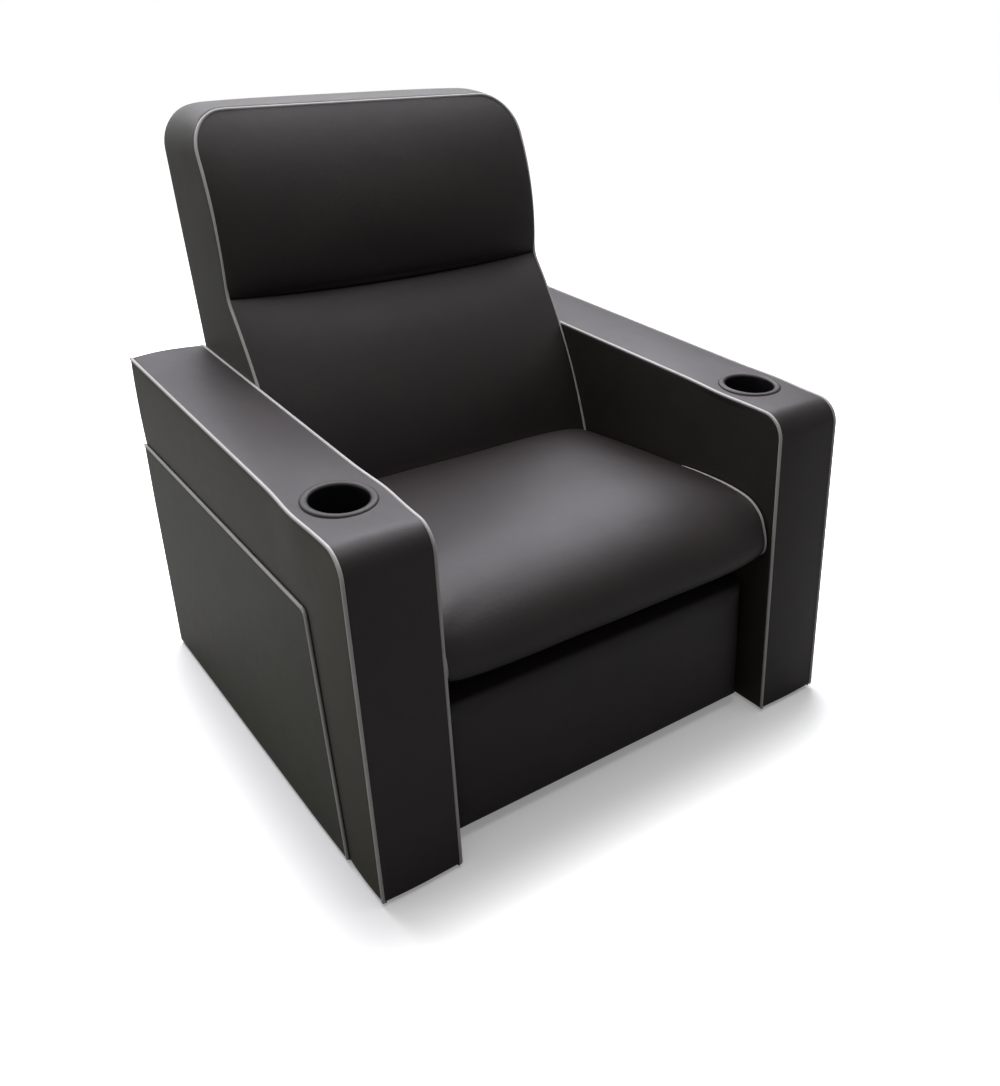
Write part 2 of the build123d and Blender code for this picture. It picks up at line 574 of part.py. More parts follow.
def behind(*edges):
    """Side-view face of everything behind a front outline, within the backrest's height."""
    start, end = edges[0] @ 0, edges[-1] @ 1
    loop = Polyline((end.X, end.Y), (end.X, FAR), (FAR, FAR), (FAR, start.Y), (start.X, start.Y))
    return make_face([*edges, *loop.edges()])


def seat_cushion():
    rear = SEAT_FRAME_REAR
    view = polygon((CUSHION_LIP_REAR, CUSHION_LIP_LOW), (CUSHION_LIP_FRONT, CUSHION_LIP_LOW),
                   (CUSHION_FRONT, CUSHION_FRONT_LEVEL), CUSHION_NOSE, (CUSHION_CREST, SEAT_HEIGHT),
                   (rear, SEAT_HEIGHT - CUSHION_REAR_DROP), (rear, CUSHION_LOW),
                   (CUSHION_LIP_REAR + CUSHION_LIP_SLOPE, CUSHION_LOW))
    view = round_corner(view, CUSHION_NOSE, CUSHION_NOSE_RADIUS)
    foot_y, foot_z = LUMBAR_LOW[0] - SOFT_GAP, BACK_LOW - SOFT_GAP
    view -= behind(lumbar_arc(-SOFT_GAP))
    view -= polygon((foot_y, foot_z), (FAR, foot_z), (FAR, FAR), (foot_y, FAR))
    return slab(view, -CUSHION_HALF_WIDTH, 2 * CUSHION_HALF_WIDTH)


def build_seat():
    save_pair("seat_side_plates", side_plate())
    level = CARRIAGE_TUBE_LOW + CARRIAGE_TUBE / 2
    save("seat_cross_tubes", *[square_tube((y + CARRIAGE_TUBE / 2, level), CARRIAGE_TUBE, TUBE_WALL,
                                           SIDE_PLATE_INNER) for y in CARRIAGE_TUBE_PLACES])
    save("seat_frame_boards", *seat_frame())
    save("seat_webbing", *seat_webbing())
    save("seat_cushion", seat_cushion())


# ---- backrest ------------------------------------------------------------------------
def back_prism(inset):
    """Front view of the backrest moved inwards by inset, run through its whole depth."""
    width = 2 * (BACK_HALF_WIDTH - inset)
    top = BACK_HEIGHT - inset
    low = BACK_LOW - OVERCUT
    view = Pos(0, (top + low) / 2) * Rectangle(width, top - low)
    view = fillet(view.vertices().group_by(Axis.Y)[-1], BACK_CORNER_RADIUS - inset)
    return Pos(0, FAR / 2, 0) * extrude(Plane.XZ * view, FAR)


def band(front_shift, rear_inset, low, high):
    """Side-view slice of the backrest between two levels.

    It starts front_shift behind the front outline and stops rear_inset short of the rear."""
    slice_view = polygon((0, low), (back_rear_y(low, rear_inset), low),
                         (back_rear_y(high, rear_inset), high), (0, high))
    return slice_view & behind(lumbar_arc(front_shift), headrest_arc(front_shift))


def front_layer(start, thickness, low, high):
    """Side-view layer that follows the front outline."""
    layer = behind(lumbar_arc(start), headrest_arc(start))
    layer -= behind(lumbar_arc(start + thickness), headrest_arc(start + thickness))
    return layer & polygon((0, low), (FAR, low), (FAR, high), (0, high))


def across_back(view, overcut=0.0):
    """A side-view face given the backrest's width, and overcut more on each side."""
    half = BACK_HALF_WIDTH + overcut
    return slab(view, -half, 2 * half)


def board_front():
    """Front edge of the wooden frame, behind foam and webbing."""
    return BACK_FOAM + WEBBING + 2 * BACK_RAIL_FIT


def side_board():
    view = band(board_front(), REAR_COVER, BACK_FRAME_LOW, SIDE_BOARD_HIGH)
    return slab(view, SIDE_BOARD_FACE - BACK_BOARD, BACK_BOARD)


def back_rails():
    """Bottom, middle and top boards of the back frame."""
    bottom = band(board_front(), REAR_COVER, BACK_FRAME_LOW, BACK_FRAME_LOW + BACK_BOARD)
    middle = band(board_front(), REAR_COVER, BACK_SEAM - BACK_BOARD / 2, BACK_SEAM + BACK_BOARD / 2)
    top = band(board_front(), REAR_COVER, SIDE_BOARD_HIGH, BACK_HEIGHT)
    bottom_half = BRACKET_FACE - BRACKET_STEEL
    return [slab(bottom, -bottom_half, 2 * bottom_half), slab(middle, -BRACKET_FACE, 2 * BRACKET_FACE),
            across_back(top) & back_prism(BOXING + BACK_RAIL_FIT)]


def back_straps():
    half = SIDE_BOARD_FACE - BACK_RAIL_FIT
    return [slab(front_layer(BACK_FOAM + BACK_RAIL_FIT, WEBBING, level - WEBBING_WIDTH / 2,
                             level + WEBBING_WIDTH / 2), -half, 2 * half) for level in STRAP_LEVELS]


def back_bracket():
    """Steel plate that carries the backrest on its pivot, with its bolt heads and the recline link's pin."""
    edge = BRACKET_MARGIN
    (pivot_y, pivot_z), (low_y, low_z), (high_y, high_z) = BACK_PIVOT, *BRACKET_BOLTS
    view = polygon((pivot_y - edge, pivot_z), (low_y - edge, low_z + edge), (high_y - edge, high_z + edge),
                   (high_y + edge, high_z + edge), (high_y + edge, high_z - edge), (pivot_y + edge, pivot_z))
    view += bar(BACK_PIVOT, RECLINE_POINT, BRACKET_ARM_WIDTH)
    inner = BRACKET_FACE - BRACKET_STEEL
    bracket = slab(pierced(view, (BACK_PIVOT, BACK_PIN_RADIUS + PIVOT_FIT)), inner, BRACKET_STEEL)
    for bolt in BRACKET_BOLTS:
        bracket += bolt_head(bolt, inner)
    return bracket + rod(RECLINE_POINT, LINK_PIN_RADIUS, RECLINE_FACE - LINK_STEEL, inner)


def boxing():
    """Leather edge of the backrest: two side strips and an arch over the top."""
    shoulder = BACK_HEIGHT - BACK_CORNER_RADIUS
    side = slab(band(0, 0, BACK_LOW, shoulder), SIDE_BOARD_FACE, BOXING)
    arch = across_back(band(0, 0, shoulder, BACK_HEIGHT + OVERCUT), OVERCUT)
    return [side, mirrored(side), (back_prism(0) - back_prism(BOXING)) & arch]


def build_back():
    save_pair("back_side_boards", side_board())
    save("back_rails", *back_rails())
    save("back_webbing", *back_straps())
    save_pair("back_brackets", back_bracket())
    save("back_boxing", *boxing())
    inner = back_prism(BOXING + BACK_RAIL_FIT)
    lumbar = across_back(front_layer(0, BACK_FOAM, BACK_LOW, BACK_SEAM))
    save("lumbar_cushion", lumbar & inner)
    headrest = across_back(front_layer(0, BACK_FOAM, BACK_SEAM, BACK_HEIGHT))
    save("headrest_cushion", headrest & inner)
    rear = band(0, 0, BACK_LOW, BACK_HEIGHT) - band(0, REAR_COVER, BACK_LOW, BACK_HEIGHT)
    save("back_rear_cover", across_back(rear) & inner)
    link = pierced(bar(CRANK_POINT, RECLINE_POINT, RECLINE_WIDTH),
                   (CRANK_POINT, LINK_PIN_RADIUS + RECLINE_SLACK),
                   (RECLINE_POINT, LINK_PIN_RADIUS + PIVOT_FIT))
    save_pair("recline_links", slab(link, RECLINE_FACE - LINK_STEEL, LINK_STEEL))


# ---- footrest ------------------------------------------------------------------------
def link(start, end, face, *holes):
    """A flat link between two pivots, its outer side at face; holes as (point, radius)."""
    return slab(pierced(bar(start, end, LINK_WIDTH), *holes), face - LINK_STEEL, LINK_STEEL)


def footrest_face_y(level, depth=0.0):
    """Front face of the footrest panel at a height, or a plane depth behind it."""
    lean = math.radians(FOOTREST_LEAN)
    return FOOTREST_FRONT + (level - FOOTREST_LOW) * math.tan(lean) + depth / math.cos(lean)


def panel_view(start, end, low, high):
    """Side view of a layer of the panel between two depths behind its front face."""
    return polygon((footrest_face_y(low, start), low), (footrest_face_y(high, start), high),
                   (footrest_face_y(high, end), high), (footrest_face_y(low, end), low))


def build_footrest_links():
    running = LINK_PIN_RADIUS + PIVOT_FIT
    extension_inner = EXTENSION_FACE - LINK_STEEL
    guide_inner = GUIDE_FACE - LINK_STEEL
    stabiliser_inner = STABILISER_FACE - LINK_STEEL
    drive_inner = DRIVE_FACE - LINK_STEEL
    drive = link(DRIVE_PIVOT, LOWER_KNEE, DRIVE_FACE, (DRIVE_PIVOT, running))
    save_pair("drive_links", drive + rod(LOWER_KNEE, LINK_PIN_RADIUS, extension_inner, drive_inner))
    guide = link(GUIDE_PIVOT, GUIDE_KNEE, GUIDE_FACE, (GUIDE_PIVOT, running),
                 (CROSSING, LINK_PIN_RADIUS + OPEN_PIVOT_FIT))
    save_pair("guide_links", guide + rod(GUIDE_KNEE, LINK_PIN_RADIUS, stabiliser_inner, guide_inner))
    tube = drive_point(GUIDE_TUBE_PLACE, GUIDE_PIVOT)
    save("guide_link_tube", square_tube(tube, LINK_TUBE, LINK_TUBE_WALL, guide_inner, DRIVE_ANGLE))
    extension = link(LOWER_KNEE, FOOTREST_PIVOT, EXTENSION_FACE, (LOWER_KNEE, running))
    extension += rod(CROSSING, LINK_PIN_RADIUS, guide_inner, extension_inner)
    footrest_pin = headed_pin(FOOTREST_PIVOT, LINK_PIN_RADIUS, PIN_HEAD_RADIUS, extension_inner, guide_inner)
    save_pair("extension_links", extension + footrest_pin)
    stabiliser = link(GUIDE_KNEE, BRACKET_POINT, STABILISER_FACE, (GUIDE_KNEE, running))
    stabiliser += rod(BRACKET_POINT, LINK_PIN_RADIUS, STABILISER_FACE, GUIDE_FACE)
    save_pair("stabiliser_links", stabiliser)


def build_footrest():
    high, low = FOOTREST_PIVOT[1] + BRACKET_OVERRUN, BRACKET_POINT[1] - BRACKET_OVERRUN
    rear = FOOTREST_THICKNESS
    view = polygon((footrest_face_y(high, rear), high), (FOOTREST_PIVOT[0], high),
                   (BRACKET_POINT[0], low), (footrest_face_y(low, rear), low))
    view += bar(FOOTREST_PIVOT, BRACKET_POINT, 2 * BRACKET_OVERRUN)
    view = pierced(view, (FOOTREST_PIVOT, LINK_PIN_RADIUS + PIVOT_FIT),
                   (BRACKET_POINT, LINK_PIN_RADIUS + OPEN_PIVOT_FIT))
    inner = GUIDE_FACE - LINK_STEEL
    flange = slab(panel_view(rear, rear + RAIL_STEEL, low, high), inner - BRACKET_FLANGE, BRACKET_FLANGE)
    save_pair("footrest_brackets", slab(view, inner, LINK_STEEL) + flange)

    board_low, board_high = FOOTREST_LOW + FOOTREST_MARGIN, FOOTREST_HIGH - FOOTREST_MARGIN
    half = FOOTREST_HALF_WIDTH - FOOTREST_MARGIN
    board = slab(panel_view(rear - FOOTREST_BOARD, rear, board_low, board_high), -half, 2 * half)
    save("footrest_board", board)
    view = panel_view(0, rear, FOOTREST_LOW, FOOTREST_HIGH)
    for level in (FOOTREST_LOW, FOOTREST_HIGH):
        view = round_corner(view, (footrest_face_y(level), level), FOOTREST_RADIUS)
    save("footrest_pad", slab(view, -FOOTREST_HALF_WIDTH, 2 * FOOTREST_HALF_WIDTH) - board)


os.makedirs("parts", exist_ok=True)
build_arms()
build_base()
build_seat_glide()
build_seat()
build_back()
build_footrest_links()
build_footrest()
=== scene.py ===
"""Looks of the cinema recliner seat: leather, piping, cushions, stage, camera and light."""
import json
import math

import bmesh
import bpy
from mathutils import Matrix, Vector, noise


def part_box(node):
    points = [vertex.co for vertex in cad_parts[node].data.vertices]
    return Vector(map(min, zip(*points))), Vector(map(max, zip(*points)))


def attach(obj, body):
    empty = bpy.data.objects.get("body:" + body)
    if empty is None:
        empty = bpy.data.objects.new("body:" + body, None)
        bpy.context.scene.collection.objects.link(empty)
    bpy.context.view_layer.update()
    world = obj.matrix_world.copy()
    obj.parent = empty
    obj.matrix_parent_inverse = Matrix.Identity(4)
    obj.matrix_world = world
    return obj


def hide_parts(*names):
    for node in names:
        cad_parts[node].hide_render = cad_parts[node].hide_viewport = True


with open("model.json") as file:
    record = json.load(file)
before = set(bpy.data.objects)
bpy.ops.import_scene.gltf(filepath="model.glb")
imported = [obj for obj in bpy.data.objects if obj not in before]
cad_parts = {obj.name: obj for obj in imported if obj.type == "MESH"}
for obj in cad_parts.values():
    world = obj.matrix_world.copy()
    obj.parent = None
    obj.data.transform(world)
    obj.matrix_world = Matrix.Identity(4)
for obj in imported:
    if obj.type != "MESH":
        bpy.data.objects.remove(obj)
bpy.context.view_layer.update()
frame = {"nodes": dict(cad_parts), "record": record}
scene = bpy.context.scene

# ---- sizes ---------------------------------------------------------------------------
# Metres. Side-view points are (y, z), with y measured backwards from the arms' front foot
# as it would be at floor level; row_point turns one into a point of the shared frame.
ARM_LOW, ARM_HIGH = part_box("arm_top_pad_right")
FLOOR_GAP = ARM_LOW.z
ARM_INNER, ARM_OUTER = ARM_LOW.x, ARM_HIGH.x
ARM_FRONT_HEIGHT = 0.606
ARM_FRONT_SETBACK = 0.0387
ARM_NOSE_RADIUS = 0.044
ARM_PAD = 0.015
COVER = 0.006
FRONT_LEAN = ARM_FRONT_SETBACK / ARM_FRONT_HEIGHT
FOOT_Y = ARM_LOW.y - FLOOR_GAP * FRONT_LEAN
ARM_LENGTH = ARM_HIGH.y - FOOT_Y
ARM_RISE = (ARM_HIGH.z - ARM_FRONT_HEIGHT) / (ARM_LENGTH - ARM_FRONT_SETBACK)
ARM_CROWN = 0.0044             # how far the top band stands up along its middle
ARM_REAR_RADIUS = 0.006        # rounding of the leather at the arm's rear
ARM_FOOT_RADIUS = 0.007        # and at the floor
PANEL_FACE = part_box("arm_side_panel_right")[1].x
PANEL_FRONT_LOW = 0.1145
PANEL_CORNER = (0.1726, 0.459)
PANEL_REAR_TOP = 0.477
PANEL_RADIUS = 0.014
CUP_FROM_FRONT = 0.183
CUP_RADIUS = 0.0446
CUP_FLANGE_RADIUS = 0.0555
CUP_DEPTH = 0.075
CUP_PUSH = 0.0042              # how far the cup spreads the arm's edges
CUP_PUSH_REACH = 0.055         # and over what length of the arm, to each side of the cup's middle
CUP_RIM = 0.0042               # height of the leather ring round the cup

PIPING_RADIUS = 0.0030
SEAT_PIPING_RADIUS = 0.0026
PIPING_SUNK = 0.0006           # a piping's middle lies this far inside the leather's edge
ARM_INNER_PIPING = 0.0022      # more at the arms' inner faces, clear of the backrest's piping
PANEL_PIPING = 0.0026
PANEL_PIPING_SUNK = 0.0004
BACK_PIPING_INSET = 0.0036     # clear of the arms as the backrest tips
BACK_PIPING_SUNK = 0.0005
SEAT_PIPING_DIP = 0.010        # how much deeper the seat's piping lies towards the backrest
SEAM_ROUNDING = 0.0045         # leather rolls into a seam with this radius

SEAT_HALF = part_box("seat_cushion")[1].x

BACK_LOW, BACK_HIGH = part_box("back_boxing")
BACK_HALF = BACK_HIGH.x
BACK_TOP = BACK_HIGH.z
BACK_BOTTOM = BACK_LOW.z
BACK_CORNER_RADIUS = 0.075
BACK_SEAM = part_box("headrest_cushion")[0].z
BACK_SIDE_CROWN = 0.0022       # how far the boxing stands out between its seams, at the sides
BACK_TOP_CROWN = 0.0085        # and along the top
BOXING = 0.007                 # thickness of the boxing's strip
LUMBAR_ARC = ((0.5578, 0.398), (0.641, 0.598), (0.761, 0.779))
HEADREST_ARC = ((0.761, 0.779), (0.7764, 0.929), (0.8648, 1.101))
BACK_REAR_POINT = (0.914, 0.610)
BACK_REAR_LEAN = math.tan(math.radians(9.8))

FOOTREST_LOW, FOOTREST_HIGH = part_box("footrest_pad")

SIDES = {"right": 1, "left": -1}


def end_tuck(point):
    """How far an arm's leather has rolled in near the floor and near its rear."""
    return max(tuck(point.y - FLOOR_GAP, ARM_FOOT_RADIUS), tuck(ARM_LENGTH - point.x, ARM_REAR_RADIUS))


def row_point(x, side_point):
    return Vector((x, FOOT_Y + side_point[0], side_point[1]))


def lerp(a, b, t):
    return a + (b - a) * t


def clustered(count):
    """Values from 0 to 1, closer together at both ends."""
    return [0.5 - 0.5 * math.cos(math.pi * k / (count - 1)) for k in range(count)]


def tuck(distance, radius=SEAM_ROUNDING):
    """How far leather has rolled down at a distance from its seam."""
    if distance >= radius:
        return 0.0
    return radius - math.sqrt(max(0.0, radius ** 2 - (radius - distance) ** 2))


# ---- side-view outlines --------------------------------------------------------------
def fillet(start, corner, end, radius):
    """Tangent points and centre of the arc that rounds a corner."""
    start, corner, end = Vector(start), Vector(corner), Vector(end)
    arriving, leaving = (start - corner).normalized(), (end - corner).normalized()
    half = math.acos(max(-1.0, min(1.0, arriving.dot(leaving)))) / 2
    reach = radius / math.tan(half)
    centre = corner + (arriving + leaving).normalized() * (radius / math.sin(half))
    return corner + arriving * reach, corner + leaving * reach, centre


def corner_path(start, corner, end, radius, counts):
    """Points from start to end round a rounded corner, closest together at both ends."""
    first, last, centre = fillet(start, corner, end, radius)
    start, end = Vector(start), Vector(end)
    run_in, arc, run_out = counts
    points = [start.lerp(first, lerp(0.1, 1.0, k / run_in) * k / run_in) for k in range(run_in)]
    a, b = first - centre, last - centre
    turn = a.angle_signed(b)
    for k in range(arc):
        points.append(centre + Matrix.Rotation(-turn * k / arc, 2) @ a)
    points += [end.lerp(last, lerp(0.1, 1.0, k / run_out) * k / run_out) for k in range(run_out, -1, -1)]
    return points


def arm_top_z(y):
    return ARM_FRONT_HEIGHT + (y - ARM_FRONT_SETBACK) * ARM_RISE


ARM_FOOT = (FLOOR_GAP * FRONT_LEAN, FLOOR_GAP)
ARM_CORNER = (ARM_FRONT_SETBACK, ARM_FRONT_HEIGHT)
ARM_REAR = (ARM_LENGTH, arm_top_z(ARM_LENGTH))
PANEL_FOOT = (PANEL_FRONT_LOW, FLOOR_GAP)
PANEL_REAR = (ARM_LENGTH, PANEL_REAR_TOP)
RUNS = (44, 14, 84)            # points up the front, round the corner and along the top
ARM_PATH = corner_path(ARM_FOOT, ARM_CORNER, ARM_REAR, ARM_NOSE_RADIUS, RUNS)
PANEL_PATH = corner_path(PANEL_FOOT, PANEL_CORNER, PANEL_REAR, PANEL_RADIUS, RUNS)


def normals(path):
    """Unit normals of a side-view path, to the left of its direction."""
    result = []
    for k in range(len(path)):
        run = path[min(k + 1, len(path) - 1)] - path[max(k - 1, 0)]
        result.append(Vector((-run.y, run.x)).normalized())
    return result


def smooth_path(points, count):
    """A curve through side-view points, as evenly spaced points."""
    knots = [Vector(p) for p in points]
    knots = [2 * knots[0] - knots[1], *knots, 2 * knots[-1] - knots[-2]]
    fine = []
    for a, b, c, d in zip(knots, knots[1:], knots[2:], knots[3:]):
        for k in range(24):
            t = k / 24
            fine.append(0.5 * (2 * b + (c - a) * t + (2 * a - 5 * b + 4 * c - d) * t ** 2
                               + (3 * b - a - 3 * c + d) * t ** 3))
    fine.append(knots[-2])
    lengths = [0.0]
    for a, b in zip(fine, fine[1:]):
        lengths.append(lengths[-1] + (b - a).length)
    result, k = [], 0
    for n in range(count):
        goal = lengths[-1] * n / (count - 1)
        while k < len(fine) - 2 and lengths[k + 1] < goal:
            k += 1
        share = (goal - lengths[k]) / max(1e-9, lengths[k + 1] - lengths[k])
        result.append(fine[k].lerp(fine[k + 1], min(1.0, share)))
    return result


def arc_y(arc, level):
    """Distance back of an arc through three side-view points, at a height."""
    (y1, z1), (y2, z2), (y3, z3) = arc
    d = 2 * (y1 * (z2 - z3) + y2 * (z3 - z1) + y3 * (z1 - z2))
    s1, s2, s3 = y1 * y1 + z1 * z1, y2 * y2 + z2 * z2, y3 * y3 + z3 * z3
    cy = (s1 * (z2 - z3) + s2 * (z3 - z1) + s3 * (z1 - z2)) / d
    cz = (s1 * (y3 - y2) + s2 * (y1 - y3) + s3 * (y2 - y1)) / d
    radius = math.hypot(y1 - cy, z1 - cz)
    side = 1 if y2 > cy else -1
    return cy + side * math.sqrt(max(0.0, radius ** 2 - (level - cz) ** 2))


def back_front_y(level):
    """Front outline of the backrest at a height, where its piping runs."""
    return arc_y(LUMBAR_ARC if level < BACK_SEAM else HEADREST_ARC, level)


def back_rear_y(level):
    return BACK_REAR_POINT[0] + (level - BACK_REAR_POINT[1]) * BACK_REAR_LEAN


# ---- materials -----------------------------------------------------------------------
def new_material(name):
    material = bpy.data.materials.new(name)
    material.use_nodes = True
    tree = material.node_tree
    shader = tree.nodes["Principled BSDF"]
    place = tree.nodes.new("ShaderNodeTexCoord").outputs["Object"]
    return material, tree, shader, place


def noise_node(tree, place, scale, detail=4.0, roughness=0.6):
    node = tree.nodes.new("ShaderNodeTexNoise")
    node.inputs["Scale"].default_value = scale
    node.inputs["Detail"].default_value = detail
    node.inputs["Roughness"].default_value = roughness
    tree.links.new(place, node.inputs["Vector"])
    return node.outputs["Fac"]


def ramp_node(tree, value, low, high, low_color, high_color):
    node = tree.nodes.new("ShaderNodeValToRGB")
    node.color_ramp.elements[0].position = low
    node.color_ramp.elements[1].position = high
    node.color_ramp.elements[0].color = (*low_color, 1)
    node.color_ramp.elements[1].color = (*high_color, 1)
    tree.links.new(value, node.inputs["Fac"])
    return node.outputs["Color"]


def range_node(tree, value, low, high):
    node = tree.nodes.new("ShaderNodeMapRange")
    node.inputs["To Min"].default_value = low
    node.inputs["To Max"].default_value = high
    tree.links.new(value, node.inputs["Value"])
    return node.outputs["Result"]


def bump_node(tree, height, strength, distance, before=None):
    node = tree.nodes.new("ShaderNodeBump")
    node.inputs["Strength"].default_value = strength
    node.inputs["Distance"].default_value = distance
    tree.links.new(height, node.inputs["Height"])
    if before is not None:
        tree.links.new(before, node.inputs["Normal"])
    return node.outputs["Normal"]


def leather(name, dark, light, roughness=(0.50, 0.58), grain=1.0, ior=1.42, coat=0.10):
    """Grained leather: pebbles about 1.2 mm across, finer pores, and soft unevenness of colour."""
    material, tree, shader, place = new_material(name)
    patches = noise_node(tree, place, 9.0)
    tree.links.new(ramp_node(tree, patches, 0.3, 0.7, dark, light), shader.inputs["Base Color"])
    tree.links.new(range_node(tree, noise_node(tree, place, 34.0), *roughness), shader.inputs["Roughness"])
    pebbles = tree.nodes.new("ShaderNodeTexVoronoi")
    pebbles.feature = "SMOOTH_F1"
    pebbles.inputs["Scale"].default_value = 820.0
    pebbles.inputs["Smoothness"].default_value = 0.4
    tree.links.new(place, pebbles.inputs["Vector"])
    normal = bump_node(tree, pebbles.outputs["Distance"], 0.35 * grain, 0.0006)
    normal = bump_node(tree, noise_node(tree, place, 2600.0, 2.0), 0.15 * grain, 0.0003, normal)
    normal = bump_node(tree, noise_node(tree, place, 45.0, 3.0), 0.10, 0.004, normal)
    tree.links.new(normal, shader.inputs["Normal"])
    shader.inputs["IOR"].default_value = ior
    shader.inputs["Coat Weight"].default_value = coat
    shader.inputs["Coat Roughness"].default_value = 0.30
    return material


def painted_steel():
    material, tree, shader, place = new_material("black_steel_paint")
    patches = noise_node(tree, place, 60.0)
    tree.links.new(ramp_node(tree, patches, 0.35, 0.7, (0.012, 0.012, 0.013), (0.024, 0.024, 0.026)),
                   shader.inputs["Base Color"])
    tree.links.new(range_node(tree, noise_node(tree, place, 300.0), 0.34, 0.5), shader.inputs["Roughness"])
    tree.links.new(bump_node(tree, noise_node(tree, place, 1500.0, 2.0), 0.12, 0.0004),
                   shader.inputs["Normal"])
    return material


def moulded_plastic():
    material, tree, shader, place = new_material("moulded_plastic")
    patches = noise_node(tree, place, 40.0)
    tree.links.new(ramp_node(tree, patches, 0.3, 0.7, (0.003, 0.003, 0.004), (0.006, 0.006, 0.007)),
                   shader.inputs["Base Color"])
    tree.links.new(range_node(tree, noise_node(tree, place, 500.0), 0.3, 0.42), shader.inputs["Roughness"])
    tree.links.new(bump_node(tree, noise_node(tree, place, 1800.0, 2.0), 0.08, 0.0003),
                   shader.inputs["Normal"])
    shader.inputs["IOR"].default_value = 1.25
    return material


def stop_rubber():
    material, tree, shader, place = new_material("stop_rubber")
    tree.links.new(ramp_node(tree, noise_node(tree, place, 90.0), 0.3, 0.7,
                             (0.01, 0.01, 0.01), (0.02, 0.02, 0.02)),
                   shader.inputs["Base Color"])
    tree.links.new(bump_node(tree, noise_node(tree, place, 900.0), 0.2, 0.0005), shader.inputs["Normal"])
    shader.inputs["Roughness"].default_value = 0.75
    return material


def birch_plywood():
    """Pale veneer with long grain, and darker lines where the plies show."""
    material, tree, shader, place = new_material("birch_plywood")
    stretch = tree.nodes.new("ShaderNodeMapping")
    stretch.inputs["Scale"].default_value = (60.0, 6.0, 60.0)
    tree.links.new(place, stretch.inputs["Vector"])
    grain = noise_node(tree, stretch.outputs["Vector"], 3.0, 6.0)
    tree.links.new(ramp_node(tree, grain, 0.3, 0.75, (0.44, 0.29, 0.16), (0.66, 0.5, 0.32)),
                   shader.inputs["Base Color"])
    tree.links.new(range_node(tree, grain, 0.5, 0.68), shader.inputs["Roughness"])
    tree.links.new(bump_node(tree, grain, 0.2, 0.0006), shader.inputs["Normal"])
    return material


def woven(name, dark, light, scale):
    """Cloth or webbing with threads crossing at a right angle."""
    material, tree, shader, place = new_material(name)
    threads = []
    for direction in ("X", "Y"):
        wave = tree.nodes.new("ShaderNodeTexWave")
        wave.bands_direction = direction
        wave.inputs["Scale"].default_value = scale
        wave.inputs["Distortion"].default_value = 0.6
        wave.inputs["Detail"].default_value = 1.0
        tree.links.new(place, wave.inputs["Vector"])
        threads.append(wave.outputs["Fac"])
    cross = tree.nodes.new("ShaderNodeMath")
    cross.operation = "MULTIPLY"
    tree.links.new(threads[0], cross.inputs[0])
    tree.links.new(threads[1], cross.inputs[1])
    weave = cross.outputs["Value"]
    tree.links.new(ramp_node(tree, weave, 0.1, 0.8, dark, light), shader.inputs["Base Color"])
    tree.links.new(range_node(tree, weave, 0.85, 0.7), shader.inputs["Roughness"])
    tree.links.new(bump_node(tree, weave, 0.6, 0.0006), shader.inputs["Normal"])
    return material


BROWN = ((0.0185, 0.0142, 0.0142), (0.024, 0.0186, 0.0182))
MATT = {"ior": 1.34, "coat": 0.05}
LEATHER = leather("dark_brown_leather", *BROWN)
HEADREST_LEATHER = leather("matt_brown_leather", *BROWN, **MATT)
# lighter copies of the brown leather for the arms' outer sides, olive-toned on the panel: painted light where
# the left lamp falls
PANEL_LEATHER_PAINTED_LIGHT = leather("olive_leather_painted_light", (0.030, 0.0300, 0.0165), (0.036, 0.0360, 0.0200))
SIDE_LEATHER_PAINTED_LIGHT = leather("brown_leather", (0.0325, 0.0302, 0.0155), (0.039, 0.0362, 0.0188))
# grey copy of the brown leather, nearly three times lighter: painted light on the backrest's boxing
BOXING_LEATHER_PAINTED_LIGHT = leather("boxing_leather_painted_light", (0.052, 0.0505, 0.045), (0.062, 0.0600, 0.054), (0.70, 0.78))
INNER_LEATHER = leather("umber_leather", (0.020, 0.0172, 0.0135), (0.026, 0.0222, 0.0172))
PIPING_LEATHER = leather("grey_piping_leather", (0.42, 0.41, 0.395), (0.50, 0.49, 0.47), (0.45, 0.58), 0.5)
# darker copy of the grey piping leather, for the backrest's and the seat's piping: painted shade against the
# high lamp's light
PIPING_LEATHER_PAINTED_SHADE = leather("piping_leather_painted_shade", (0.385, 0.376, 0.362), (0.46, 0.451, 0.434),
                              (0.55, 0.66), 0.5, **MATT)
STEEL = painted_steel()
PLASTIC = moulded_plastic()
RUBBER = stop_rubber()
PLYWOOD = birch_plywood()
WEBBING = woven("elastic_webbing", (0.02, 0.018, 0.016), (0.075, 0.07, 0.062), 320.0)
DUST_CLOTH = woven("black_lining_cloth", (0.006, 0.006, 0.006), (0.016, 0.016, 0.016), 500.0)


# ---- making pieces -------------------------------------------------------------------
def grid_faces(rows, columns, start=0, closed=False):
    """Quads of a grid of points; closed joins the last column to the first."""
    faces = []
    for r in range(rows - 1):
        for c in range(columns if closed else columns - 1):
            n = (c + 1) % columns
            faces.append((start + r * columns + c, start + r * columns + n,
                          start + (r + 1) * columns + n, start + (r + 1) * columns + c))
    return faces


def loft(rings):
    """A closed body through rings with equally many points."""
    count = len(rings[0])
    faces = grid_faces(len(rings), count, closed=True)
    faces.append(tuple(range(count)))
    faces.append(tuple(range((len(rings) - 1) * count, len(rings) * count)))
    return [p for ring in rings for p in ring], faces


